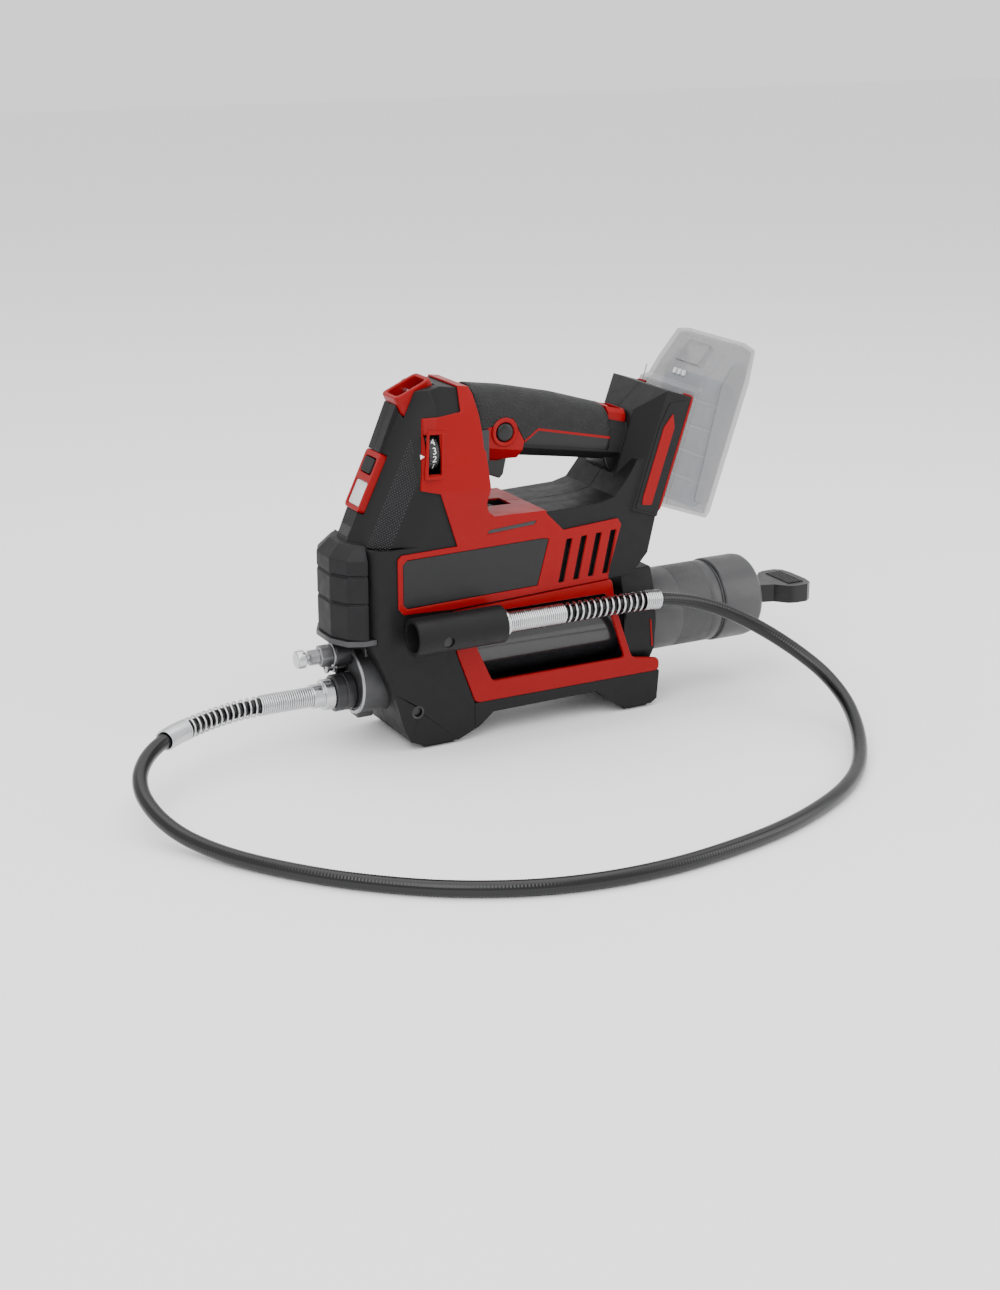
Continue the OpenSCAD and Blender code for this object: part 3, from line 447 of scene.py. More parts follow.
def brass():
    return surface("brass", (0.7, 0.5, 0.2), rough=(0.25, 0.35), metallic=1.0)


def board_green():
    return surface("board_green", (0.01, 0.09, 0.04), rough=(0.25, 0.4), coat=0.4)


def cell_wrap():
    return surface("cell_wrap", (0.12, 0.25, 0.36), rough=(0.2, 0.3))


def white_print():
    return surface("white_print", (0.75, 0.75, 0.75), rough=(0.4, 0.5))


# --- hose -------------------------------------------------------------------
ROUTE_STEP = 0.55
CURVE_STEPS = 40
HOSE_SIDES = 24
COVER_WAVE = 0.09
WAVE_POINTS = 4
TURN_STEPS = 20
TURN_GAP = 0.06
WIRE_SIDES = 8
# runs along the hose in millimetres: each guard, and its open-wound stretch
OUTLET_GUARD, OUTLET_OPEN = (6, 134), (50, 112)
COUPLER_GUARD, COUPLER_OPEN = (1065.5, 1191), (1078, 1146)
HOSE_ROUTE = [
    (-74, 0, 40.5), (-95, 0, 40.5), (-120, 0, 40.5), (-140, -2, 40.5), (-160, -7, 40),
    (-178, -14, 39.5), (-195, -22, 38.5), (-211, -33, 36.5), (-224, -47, 33),
    (-233, -64, 28.5), (-236, -83, 22.5), (-232, -105, 15), (-222, -128, 9),
    (-205, -158, 6), (-180, -193, 5.3), (-150, -226, 5.3), (-110, -258, 5.3),
    (-65, -281, 5.3), (-20, -293, 5.3), (28, -296, 5.3), (75, -291, 5.3),
    (120, -281, 5.3), (160, -266, 5.3), (197, -246, 5.3), (228, -221, 5.6),
    (252, -192, 8.5), (269, -163, 14.5), (278, -137, 22.5), (278, -113, 33),
    (270, -93, 44), (256, -76, 56), (239, -64, 67), (220, -56, 76.5), (200, -52, 83.5),
    (180, -51, 88), (162, -51, 90), (140, -51, 90.5), (90, -51, 90.5), (42, -51, 90.5),
]


def curve_point(points, t):
    """Point on the smooth curve through the points, t counting them from the first."""
    n = len(points) - 1
    i = min(int(t), n - 1)
    f = t - i
    a, b = Vector(points[max(i - 1, 0)]), Vector(points[i])
    c, d = Vector(points[i + 1]), Vector(points[min(i + 2, n)])
    return 0.5 * (
        2 * b + (c - a) * f + (2 * a - 5 * b + 4 * c - d) * f * f
        + (3 * b - a - 3 * c + d) * f ** 3
    )


def even_route(points, step):
    """Points a step apart along the smooth curve, with the run up to each."""
    fine = [curve_point(points, k / CURVE_STEPS)
            for k in range((len(points) - 1) * CURVE_STEPS + 1)]
    runs = [0.0]
    for a, b in zip(fine, fine[1:]):
        runs.append(runs[-1] + (b - a).length)
    total = runs[-1]
    count = max(2, round(total / step))
    out, i = [], 0
    for k in range(count + 1):
        want = total * k / count
        while i < len(runs) - 2 and runs[i + 1] < want:
            i += 1
        share = (want - runs[i]) / max(runs[i + 1] - runs[i], 1e-9)
        out.append((want, fine[i].lerp(fine[i + 1], share)))
    return out, total


def frames_along(points):
    """Direction, side and up at each point, turning as little as possible."""
    out, side = [], Vector((0, 1, 0))
    for i, p in enumerate(points):
        a, b = points[max(i - 1, 0)], points[min(i + 1, len(points) - 1)]
        direction = (b - a).normalized()
        side = (side - direction * side.dot(direction)).normalized()
        out.append((direction, side, side.cross(direction)))
    return out


def tube(name, points, radius, sides):
    """Closed tube along points; radius is a number or a function of the point's index."""
    rings = []
    for i, (p, (d, s, u)) in enumerate(zip(points, frames_along(points))):
        r = radius(i) if callable(radius) else radius
        rings.append([
            p + (s * math.cos(a) + u * math.sin(a)) * r
            for a in (2 * math.pi * k / sides for k in range(sides))
        ])
    return shade(loft(name, rings), 50)


def coil_along(name, route, guard, stretch, close, wide, radius, wire):
    """Wire wound round the route along a guard, opened up over a stretch of it."""
    start, end = guard
    runs = [r for r, _ in route]
    points = [p for _, p in route]
    frames = frames_along(points)
    path, run, angle = [], start, 0.0
    k = min(range(len(runs)), key=lambda i: abs(runs[i] - start))
    while run < end:
        while k < len(runs) - 2 and runs[k + 1] < run:
            k += 1
        share = (run - runs[k]) / (runs[k + 1] - runs[k])
        middle = points[k].lerp(points[k + 1], share)
        d, s, u = frames[k]
        path.append(middle + (s * math.cos(angle) + u * math.sin(angle)) * radius)
        angle += 2 * math.pi / TURN_STEPS
        run += (wide if stretch[0] < run < stretch[1] else close) / TURN_STEPS
    return tube(name, path, wire, WIRE_SIDES)


class GREASEGUN_OT_hose(bpy.types.Operator):
    """Hose with its two spring guards, ferrule and coupler"""
    bl_idname = "grease_gun.hose"
    bl_label = "Hose"

    def execute(self, context):
        size = context.scene.gun_hose
        route, total = even_route(HOSE_ROUTE, ROUTE_STEP)
        points = [p for _, p in route]
        r = size.diameter / MM / 2
        hose = tube("hose_line", points, lambda i: r - COVER_WAVE * (
            1 - math.cos(2 * math.pi * i / WAVE_POINTS)), HOSE_SIDES)
        paint(hose, hose_cover())
        settle(hose, "hose")
        wire = size.wire / MM
        mean = size.guard / MM - wire
        close = 2 * wire + TURN_GAP
        wide = size.open_pitch / MM
        first = coil_along("outlet_guard", route, OUTLET_GUARD, OUTLET_OPEN, close, wide,
                           mean, wire)
        second = coil_along("coupler_guard", route, COUPLER_GUARD, COUPLER_OPEN, close, wide,
                            mean, wire)
        for guard, node in ((first, "outlet_spring"), (second, "coupler_spring")):
            paint(guard, bright_steel())
            settle(guard, node)
        ferrule = turned("ferrule_turned", [
            (0, 5.4), (0, 10.6), (0.6, 11.2), (7, 11.2), (7.6, 10.6), (7.6, 9.2), (8, 8.6),
            (15, 8.6), (15.6, 8.2), (15.6, 5.4)], FERRULE, FORWARD)
        cup = turned("coupler_turned", [
            (-6, 0), (-6, 4.2), (-16, 4.2), (-16, 6.9), (-15.2, 7.6), (6, 7.6), (7, 7.0),
            (8, 7.6), (14, 7.6), (14.6, 6.5), (37.5, 6.5), (37.5, 8.6), (38.3, 9.3),
            (43.2, 9.4), (44.2, 9.1), (44.2, 6.0), (42, 5.4), (41, 0.0)], HOLDER_LINE)
        for part, node in ((ferrule, "outlet_ferrule"), (cup, "coupler")):
            soften(part, 0.0002, 2)
            paint(part, bright_steel())
            settle(part, node)
        return {"FINISHED"}


# --- mouldings' details -----------------------------------------------------
def side_y(z):
    """Half width of the covers' face at a height."""
    return COVER_HALF - max(0.0, COVER_LEAN * (z - COVER_BREAK))


def plate(name, points, low, high, side=-1):
    """Flat outline (x, z) laid on the covers' face, from low to high above it."""
    return loft(name, [[(x, side * (side_y(z) + t), z) for x, z in points]
                       for t in (low, high)])


def rounded(points, radius):
    """Outline with its corners rounded."""
    out, n = [], len(points)
    for i, p in enumerate(points):
        p = Vector((*p, 0))
        a = Vector((*points[i - 1], 0)) - p
        b = Vector((*points[(i + 1) % n], 0)) - p
        r = min(radius, a.length * 0.45, b.length * 0.45)
        a, b = p + a.normalized() * r, p + b.normalized() * r
        for k in range(CORNER_STEPS + 1):
            t = k / CORNER_STEPS
            q = a * (1 - t) ** 2 + p * 2 * t * (1 - t) + b * t * t
            out.append((q.x, q.y))
    return out


def box_outline(x0, x1, y0, y1, radius=0.0):
    """Rectangle, with rounded corners if a radius is given."""
    points = [(x0, y0), (x1, y0), (x1, y1), (x0, y1)]
    return rounded(points, radius) if radius else points


def joined(name, objects):
    """One object out of several."""
    bm = bmesh.new()
    for obj in objects:
        bm.from_mesh(obj.data)
        bpy.data.objects.remove(obj)
    mesh = bpy.data.meshes.new(name)
    bm.to_mesh(mesh)
    bm.free()
    return new_object(name, mesh)


def along(table, x):
    """Value at x of a table of (x, value) pairs."""
    for (x0, v0), (x1, v1) in zip(table, table[1:]):
        if x <= x1:
            return v0 + (v1 - v0) * max(0.0, (x - x0)) / (x1 - x0)
    return table[-1][1]


def leaning(origin, degrees):
    """Placer for points of a frame that leans about Y, given as (x, y, z) inside it."""
    turn = Matrix.Rotation(math.radians(degrees), 3, "Y")
    return lambda x, y, z: Vector(origin) + turn @ Vector((x, y, z))


NOSE = leaning((-58.6, 0, 152), 25.4)
EYE = leaning((-6, 0, 250), -24)
DOCK = leaning((177, 0, 152), 18)


def piece(name, placer, points, low, high, axis="X"):
    """Flat outline drawn out along an axis of a leaning frame."""
    place = DRAWN_ALONG[axis]
    return loft(name, [[placer(*place(p, t)) for p in points] for t in (low, high)])


GRIP_HALF = 19
GRIP_SOFT = 1.8
UPPER_ROUND, LOWER_ROUND = 0.8, 0.667
GRIP_TOP = [(25, 254), (66, 248), (107, 239), (149, 226.5), (166, 220.5)]
GRIP_BOTTOM = [(38, 199), (70, 197), (74, 200.5), (116, 194.5), (152, 188.5)]
GRIP_LINE = [(37.5, 222.3), (65.9, 229.3), (75.3, 212.3), (86, 220), (145.8, 207.5)]


def grip_point(x, turn, grow):
    """Point on the rounded handle at station x; turn is 0 at the left, 90 at the top."""
    top, bottom = along(GRIP_TOP, x), along(GRIP_BOTTOM, x)
    half, high = GRIP_HALF + grow, (top - bottom) / 2 + grow
    power = UPPER_ROUND if 0 < turn < 180 else LOWER_ROUND
    c, s = math.cos(math.radians(turn)), math.sin(math.radians(turn))
    y = -math.copysign(abs(c) ** power, c) * half
    return (x, y, (top + bottom) / 2 + math.copysign(abs(s) ** power, s) * high)


def grip_turn(x, z):
    """Turn at which the handle's left side reaches height z."""
    top, bottom = along(GRIP_TOP, x), along(GRIP_BOTTOM, x)
    share = (z - (top + bottom) / 2) / ((top - bottom) / 2 + GRIP_SOFT)
    power = UPPER_ROUND if share > 0 else LOWER_ROUND
    return math.degrees(math.asin(math.copysign(min(1, abs(share)) ** (1 / power), share)))


def grip_strip(name, stations, edges, grow, thick, steps=30):
    """Strip of the handle's skin; edges gives its first and last turn at a station."""
    rings = []
    for i, x in enumerate(stations):
        a, b = edges(x)
        out = grow - (0.7 if i in (0, len(stations) - 1) else 0)
        turns = [a + (b - a) * k / steps for k in range(steps + 1)]
        rings.append([grip_point(x, t, out) for t in turns]
                     + [grip_point(x, t, grow - thick) for t in reversed(turns)])
    return shade(loft(name, rings), 50)


class GREASEGUN_OT_handle(bpy.types.Operator):
    """Soft upper grip, smooth lower grip, the line between them, lip and lock-off button"""
    bl_idname = "grease_gun.handle"
    bl_label = "Handle"

    def execute(self, context):
        front = [37.7, 38.6] + [42 + 4 * i for i in range(6)] + [65.9, 70.6]
        back = [75.3, 80, 86] + [90 + 4 * i for i in range(14)] + [144.6, 145.6]

        def level(x, drop=0.0):
            return grip_turn(x, along(GRIP_LINE, x) - drop)

        upper = grip_strip("grip_upper", front + back,
                           lambda x: (level(x), 180 - level(x)), GRIP_SOFT, 1.5)
        paint(upper, grip_rubber())
        settle(upper, "grip_sleeve")
        lower = grip_strip("grip_lower", [75.5, 76.5] + back[1:],
                           lambda x: (level(x, 1.5), -180 - level(x, 1.5)), 1.3, 1.2)
        paint(lower, smooth_casing())
        attach(lower, "housing")
        for side in (0, 1):
            line = grip_strip(
                "grip_line_" + "lr"[side], [75.3, 76] + back[1:],
                lambda x: (level(x, 1.6), level(x, -0.1)) if side == 0
                else (180 - level(x, 1.6), 180 - level(x, -0.1)), 2.0, 1.6, 3)
            paint(line, accent())
            attach(line, "housing")
        lip = prism("grip_lip", rounded([(143, 192), (147, 181), (154, 177), (162, 177.5),
                                         (166, 184), (166, 200), (143, 200)], 4), -15, 15)
        soften(lip, 0.0015, 3)
        paint(lip, smooth_casing())
        attach(lip, "housing")
        for side in (-1, 1):
            ring = turned("lock_ring_" + "lr"[side > 0], [
                (19.6, 7.3), (19.6, 10.4), (21.4, 10.3), (22, 9.6), (22, 7.9), (21.6, 7.3)],
                LOCK_BUTTON, (0, side, 0), 48, ring=True)
            paint(shade(ring, 40), accent())
            attach(ring, "housing")
        button = turned("lock_button_round", [
            (-18, 6.55), (21.0, 6.55), (21.9, 6.1), (22.4, 5.2), (22.6, 3), (22.65, 0)],
            LOCK_BUTTON, LEFT, 48)
        paint(shade(button, 40), smooth_casing())
        settle(button, "lock_off_button")
        return {"FINISHED"}


DOT_ROWS, DOT_COLUMNS, DOT_PITCH = 66, 8, 1.45
DOT_ALONG, DOT_OUT, DOT_HIGH = 0.56, 0.4, 0.6


def on_nose_band(at, y):
    """Whether a dot lies on the open part of the nose, clear of the cover and the bumper."""
    if at.z > 243 or y > side_y(at.z) - 2.6 or (at.x > -14.2 and at.z > 186):
        return False
    return at.x <= -33 or at.z >= 147


def raised_dots(name):
    """Small four-sided points in staggered rows on both chamfers of the nose."""
    bm = bmesh.new()
    for side in (-1, 1):
        for row in range(DOT_ROWS):
            for k in range(DOT_COLUMNS):
                share = 0.1 + 0.115 * (k + 0.5 * (row % 2))
                x, y, w = 8 + 14 * share, 21 + 10 * share, 4 + DOT_PITCH * row
                if not on_nose_band(NOSE(x, y, w), y):
                    continue
                *corners, tip = [bm.verts.new(Vector((p.x, side * p.y, p.z)) * MM) for p in (
                    NOSE(x - DOT_ALONG, y - DOT_OUT, w), NOSE(x, y, w - DOT_HIGH),
                    NOSE(x + DOT_ALONG, y + DOT_OUT, w), NOSE(x, y, w + DOT_HIGH),
                    NOSE(x - 0.32, y + 0.45, w))]
                for i in range(4):
                    bm.faces.new((corners[i], corners[(i + 1) % 4], tip))
                bm.faces.new(corners)
    return from_bmesh(name, bm)


class GREASEGUN_OT_nose(bpy.types.Operator):
    """Bumper, work lamp, front eyelet and the raised texture on the nose"""
    bl_idname = "grease_gun.nose"
    bl_label = "Nose"

    def execute(self, context):
        back, draft = -52.4, 0.022
        plan = [(back, -31), (-56, -31), (-66, -25), (-73, -11),
                (-73, 11), (-66, 25), (-56, 31), (back, 31)]
        levels = [(86.05, 0.6), (86.9, 0), (111, 0), (111.6, 1.3), (112.8, 1.3), (113.4, 0),
                  (131, 0), (131.6, 1.3), (132.8, 1.3), (133.4, 0), (143.5, 0), (149.5, 5.5),
                  (152.9, 9)]
        rings = []
        for z, inset in levels:
            rings.append([(min(x + inset, back), y * (1 - inset * draft), z)
                          for x, y in plan])
        bumper = loft("bumper_block", rings)
        soften(bumper, 0.0008, 3, 20, clamp=False)
        paint(bumper, rubber())
        settle(bumper, "bumper")

        bezel = piece("lamp_surround", NOSE, box_outline(-12, 12, 22.8, 66.2, 3.5), -2.4, 8)
        for low, high, half in ((26, 44, 9), (49.5, 61.5, 8.2)):
            hole = piece("hole", NOSE, box_outline(-half, half, low, high, 1.5), -6, 5.9)
            carve(bezel, hole)
        soften(bezel, 0.0009, 3, 30, clamp=False)
        paint(bezel, accent())
        settle(bezel, "lamp_bezel")
        lens = piece("lamp_window", NOSE, box_outline(-8.8, 8.8, 26.2, 43.8, 1.6), -1.6, 0.6)
        soften(lens, 0.0006, 3)
        paint(lens, frosted("lamp_frost", (0.86, 0.88, 0.9), 0.2, 0.55))
        settle(lens, "lamp_lens")
        reflector = piece("lamp_reflector", NOSE, box_outline(-8.8, 8.8, 26.2, 43.8), 3, 5.5)
        paint(reflector, bright_steel())
        attach(reflector, "housing")
        led = piece("lamp_led", NOSE, box_outline(-3, 3, 32, 38, 1), 0.8, 3.2)
        paint(led, white_print())
        attach(led, "housing")
        key = piece("lamp_key", NOSE, box_outline(-7.6, 7.6, 50.2, 60.8, 2), -3.2, 3)
        soften(key, 0.0008, 3)
        paint(key, rubber())
        settle(key, "lamp_button")

        ring = piece("eyelet_ring", EYE, box_outline(-14, 16, -12.5, 12.5, 5), -9, 6, "Z")
        hollow = piece("hole", EYE, box_outline(-10.6, 12.6, -9.2, 9.2, 3.5), -6.4, 30, "Z")
        carve(ring, hollow)
        soften(ring, 0.0012, 3, 30, clamp=False)
        paint(ring, accent())
        settle(ring, "front_eyelet")
        liner = piece("eyelet_floor", EYE, box_outline(-10.4, 12.4, -9, 9, 3), -6.3, -3.5, "Z")
        paint(liner, black_oxide())
        attach(liner, "housing")

        strips = joined("nose_strips", [
            piece("strip", NOSE, box_outline(-7.8, 7.8, low, high, 1.5), -0.5, 0.6)
            for low, high in ((4, 21.5), (68, 92))])
        soften(strips, 0.0003, 2)
        paint(strips, smooth_casing())
        attach(strips, "housing")
        dots = raised_dots("nose_texture")
        # painted highlight: the dots' lighter grey stands in for their glints
        paint(dots, highlit_dot_rubber())
        attach(dots, "housing")
        return {"FINISHED"}


class GREASEGUN_OT_controls(bpy.types.Operator):
    """Speed dial with its digits, border and marker, and the covers' grooves and openings"""
    bl_idname = "grease_gun.controls"
    bl_label = "Dial and panels"

    def execute(self, context):
        teeth, tooth_depth = 36, 0.35
        rings = []
        for x, r in ((-4.05, 12.4), (-3.4, DIAL_RADIUS), (3.4, DIAL_RADIUS), (4.05, 12.4)):
            rings.append([(DIAL.x + x,
                           DIAL.y + (r - tooth_depth * (k % 2)) * math.cos(k * math.pi / teeth),
                           DIAL.z + (r - tooth_depth * (k % 2)) * math.sin(k * math.pi / teeth))
                          for k in range(2 * teeth)])
        wheel = joined("dial_wheel", [
            loft("rim", rings), turned("shaft", [(-7, 1.9), (7, 1.9)], DIAL, sides=16)])
        paint(shade(wheel, 20), black_oxide())
        settle(wheel, "speed_dial")
        digits = []
        digit_height, digit_step = 6.8, 5.6
        for i, text in enumerate("1234"):
            curve = bpy.data.curves.new("digit", "FONT")
            curve.body, curve.size, curve.extrude = text, digit_height * MM, 0.12 * MM
            curve.align_x = curve.align_y = "CENTER"
            flat = new_object("digit", curve)
            bpy.context.view_layer.update()
            graph = bpy.context.evaluated_depsgraph_get()
            mesh = bpy.data.meshes.new_from_object(flat.evaluated_get(graph))
            bpy.data.objects.remove(flat)
            lift = math.asin((digit_step * i - 8.4) / DIAL_RADIUS)
            mesh.transform(Matrix.Translation(DIAL * MM) @ Matrix.Rotation(-lift, 4, "X")
                           @ Matrix.Translation((0, -13.05 * MM, 0))
                           @ Matrix.Rotation(math.radians(90), 4, "X"))
            digits.append(new_object("digit", mesh))
        digits = joined("dial_digits", digits)
        paint(digits, white_print())
        attach(digits, "dial")
        rim = plate("dial_border", rounded([(-11.2, 197), (3.2, 196), (6.6, 229), (-6.6, 230)],
                                           2), -1.2, 0.8)
        hole = plate("hole", rounded([(-8.3, 199.2), (1.6, 198.8), (3.6, 226.8),
                                      (-5.4, 227.2)], 1), -3, 3)
        carve(rim, hole)
        soften(rim, 0.0004, 2, 30, clamp=False)
        paint(rim, accent())
        attach(rim, "housing")
        marker = plate("dial_marker", [(-13.2, 211.4), (-13.2, 214.6), (-10.2, 213)], -0.3, 0.3)
        paint(marker, white_print())
        attach(marker, "housing")
        slots, plates = [], []
        for side in (-1, 1):
            slots.append(plate("slot", rounded([(37, 153), (74.5, 155.2), (76.3, 158.2),
                                             (38.5, 156)], 1.2), -1.5, -0.55, side))
            plates.append(prism("plate", box_outline(92, 145.5, 106.5, 144.5), side * 31,
                                side * 32))
        edge = prism("opening_edge", [(29.5, 169.4), (37.0, 169.4), (36.2, 175), (37.6, 180.6),
                                      (29.5, 180.6)], -COVER_HALF, COVER_HALF)
        core = prism("core", [(20, 160), (36.5, 168), (35.4, 175), (37.4, 190), (20, 190)],
                     -COVER_INSIDE, COVER_INSIDE)
        carve(edge, core)
        paint(edge, accent())
        attach(edge, "housing")
        slot = prism("lever_slot", rounded([(32.6, 201), (46.4, 201), (46.4, 223.4),
                                            (32.6, 223.4)], 1.5), -21.4, -20.2)
        paint(slot, black_oxide())
        attach(slot, "housing")
        pin = turned("holder_pin", [(0, 0), (0, 3.9), (1.6, 3.9), (1.6, 0)],
                     HOLDER_PIN, RIGHT, 24)
        paint(pin, black_oxide())
        attach(pin, "housing")
        groove = joined("panel_groove", slots)
        baffle = joined("vent_baffle", plates)
        for obj in (groove, baffle):
            paint(obj, black_oxide())
            attach(obj, "housing")
        return {"FINISHED"}


class GREASEGUN_OT_dock(bpy.types.Operator):
    """Dock's side panels, stripes and edge, and the battery's raised panels and lights"""
    bl_idname = "grease_gun.dock"
    bl_label = "Dock and battery"

    def execute(self, context):
        stripe = rounded([(-12.5, 71.5), (-8, 62), (-8, 3.5), (-16, 2), (-17, 7),
                          (-17, 60)], 1.2)
        panel = rounded([(-2.2, 83.5), (-2.2, -2), (-20.5, -2), (-20.5, 60), (-17.5, 78)], 2)
        for side in (-1, 1):
            tag = "lr"[side > 0]
            base = piece("dock_panel_" + tag, DOCK, panel, side * 37.4, side * 38.6, "Y")
            soften(base, 0.0006, 2)
            paint(base, casing())
            attach(base, "housing")
            inlay = piece("dock_stripe_" + tag, DOCK, stripe, side * 38, side * 39.2, "Y")
            soften(inlay, 0.0004, 2)
            paint(inlay, accent())
            attach(inlay, "housing")
        rim = piece("dock_edge", DOCK, box_outline(-38.4, 38.4, 0, 87.2, 4), -0.6, 1.1)
        hole = piece("hole", DOCK, box_outline(-26.3, 26.3, 6, 120), -5, 5)
        carve(rim, hole)
        soften(rim, 0.0004, 2, 30, clamp=False)
        paint(rim, accent())
        settle(rim, "dock_rim")
        pale = frosted("frosted_pack", tuple(context.scene.gun_finish.pack))
        shapes = []
        for side in (-1, 1):
            panel = rounded([(28, 117.5), (36, 118.5), (40, 113), (40, 13), (28, 13),
                             (22, 101)], 2.5)
            rib = box_outline(4.2, 5.4, 7, 99, 0.5)
            shapes.append(piece("panel", DOCK, panel, side * 37.9, side * 38.6, "Y"))
            shapes.append(piece("rib", DOCK, rib, side * 37.9, side * 38.5, "Y"))
        panels = joined("pack_panels", shapes)
        paint(soften(panels, 0.0003, 2), pale)
        attach(panels, "battery")
        lights = joined("pack_lights", [
            piece("light", DOCK, box_outline(y - 1.5, y + 1.5, 98.6, 102.6, 0.6), 8.2, 9.7)
            for y in (-6, 0, 6)])
        paint(lights, white_print())
        attach(lights, "battery")
        return {"FINISHED"}


class GREASEGUN_OT_barrel(bpy.types.Operator):
    """Lined sleeve, end cap and the ribs of the pull handle"""
    bl_idname = "grease_gun.barrel"
    bl_label = "Barrel ends"

    def execute(self, context):
        profile = [(181, 29.1), (181, 30.4), (181.7, 31)]
        for x in (206 + 1.5 * i for i in range(18)):
            profile += [(x, 31), (x + 0.3, 30.85), (x + 0.8, 30.85), (x + 1.1, 31)]
        profile += [(241.5, 31), (242.4, 30.3), (243, 29.1)]
        sleeve = turned("sleeve_lined", profile, BARREL_AXIS, sides=96, ring=True)
        paint(shade(sleeve, 40), sleeve_grip())
        settle(sleeve, "barrel_sleeve")
        cap = turned("cap_turned", [
            (243, 29.2), (243.1, 30.2), (244.6, 30.2), (244.7, 31.2), (245.6, 32), (273, 32),
            (276.5, 31.3), (279, 29.2), (280, 26.4), (280, 12), (281, 11), (281, 4.3),
            (272.2, 4.3), (272.2, 29.2)], BARREL_AXIS, sides=96, ring=True)
        paint(shade(cap, 28), sleeve_grip())
        settle(cap, "end_cap")
        bars = joined("handle_ribs", [
            prism("bar", box_outline(x, x + 1.1, -16, 16, 0.4), low, low + 0.9, "Z")
            for x in (313.5, 315.9, 318.3, 320.7, 323.1, 325.5) for low in (71.3, 56.8)])
        paint(bars, smooth_casing())
        attach(bars, "follower")
        return {"FINISHED"}


class GREASEGUN_OT_cradle(bpy.types.Operator):
    """Rounded frames on the cradle's sides and the saddle's ledge and line"""
    bl_idname = "grease_gun.cradle"
    bl_label = "Cradle"

    def execute(self, context):
        outside = rounded([(27.4, 28.2), (182, 28.2), (182, 38), (158, 42), (143, 84),
                           (139.5, 105.8), (8.4, 99.7), (12.4, 69.1)], 4)
        inside = rounded([(41, 43), (151.5, 43), (137.5, 84), (135, 95), (23, 95),
                          (29, 69)], 3)
        for side, node in ((-1, "left_cradle_frame"), (1, "right_cradle_frame")):
            ring = prism(node + "_ring", outside, side * 33.4, side * 36.9)
            carve(ring, prism("hole", inside, -60, 60))
            soften(ring, 0.0011, 3, 30, clamp=False)
            paint(ring, accent())
            settle(ring, node)
        lines = joined("saddle_lines", [
            prism("line", [(175, 68), (176.2, 68), (178.2, 47), (177, 47)], side * 32.7,
                  side * 33.4) for side in (-1, 1)])
        paint(lines, accent())
        attach(lines, "housing")
        ledges = joined("saddle_ledges", [
            prism("ledge", box_outline(153.5, 163, 71, 77, 1), side * 32.5, side * 34.2)
            for side in (-1, 1)])
        paint(soften(ledges, 0.0005, 2), casing())
        attach(ledges, "housing")
        return {"FINISHED"}


class GREASEGUN_OT_fittings(bpy.types.Operator):
    """Bleeder, swivel, fill nipple, rim, pin and screw cups on the pump head"""
    bl_idname = "grease_gun.fittings"
    bl_label = "Pump fittings"

    def execute(self, context):
        thread = []
        for k in range(6):
            thread += [(77.2 + 1.2 * k, 5.0), (77.8 + 1.2 * k, 5.6)]
        hexagon = turned("bleeder_hex", [(67.5, 6.8), (68.3, 8), (76.1, 8), (76.9, 6.8)], BLEEDER,
                         FORWARD, 6)
        stem = turned("bleeder_stem", [(66, 4), (66, 8.2), (66.5, 8.6), (67.2, 8.6), (67.6, 8),
                                       (67.7, 5)] + thread + [(84.5, 4.6), (84.6, 2.1)],
                      BLEEDER, FORWARD, 48)
        nut = joined("bleeder_nut", [hexagon, stem])
        paint(shade(nut, 28), machined())
        settle(nut, "bleeder_body")
        boss = turned("bleeder_boss", [(53.9, 7), (53.9, 8.2), (54.8, 8.8), (65.2, 8.8),
                                       (66, 8.2), (66, 4)], BLEEDER, FORWARD, 48)
        paint(shade(boss, 30), black_oxide())
        attach(boss, "housing")
        cap = turned("bleeder_cap", [(72.5, 1.95), (87.2, 1.95), (87.2, 5.4), (88, 6.5),
                                     (92.4, 6.6), (93.4, 6.2), (94, 5.2), (94, 0)],
                     BLEEDER, FORWARD, 48)
        paint(shade(cap, 30), bright_steel())
        settle(cap, "bleeder_tip")
        swivel = turned("swivel_boss", [(48.2, 5.9), (54.1, 5.9), (54.1, 12.4), (55.2, 13.4),
                                        (60.5, 13.4), (61, 12.9), (62, 12.9), (62.5, 13.4),
                                        (68.4, 13.4), (69.5, 12.4), (69.5, 5)],
                        OUTLET, FORWARD, 64)
        paint(shade(swivel, 30), black_oxide())
        settle(swivel, "outlet_swivel")
        rim = turned("head_rim", [(53.4, 22), (53.4, 24.3), (54.2, 24.3), (55, 23.6), (55, 22)],
                     HEAD_RIM, FORWARD, 72, ring=True)
        paint(shade(rim, 30), machined())
        attach(rim, "housing")
        base = turned("fill_hex", [(54, 4.9), (54.6, 5.6), (61.4, 5.6), (62, 4.9)], FILL_PORT,
                      FORWARD, 6)
        tip = turned("fill_tip", [(61.9, 4.4), (62.8, 4.4), (63.6, 3.2), (66, 3.2), (67, 4.4),
                                  (68.3, 4.4), (69, 3), (69, 1.2), (67.5, 1), (67.5, 0)],
                     FILL_PORT, FORWARD, 32)
        nipple = joined("fill_turned", [base, tip])
        paint(shade(nipple, 28), machined())
        settle(nipple, "fill_nipple")
        cups = joined("head_screw_cups", [
            turned("cup", [(35.6, 3.5), (35.6, 4.8), (36.2, 4.7), (36.3, 4.3), (35.9, 3.5)],
                   HEAD_SCREW, (0, side, 0), 40, ring=True) for side in (-1, 1)])
        paint(shade(cups, 30), black_oxide())
        attach(cups, "housing")
        pin = turned("head_pin", [(53.6, 1.8), (54.8, 1.8), (55.3, 1.2), (55.3, 0)],
                     HEAD_PIN, FORWARD, 24)
        paint(shade(pin, 30), bright_steel())
        attach(pin, "housing")
        return {"FINISHED"}


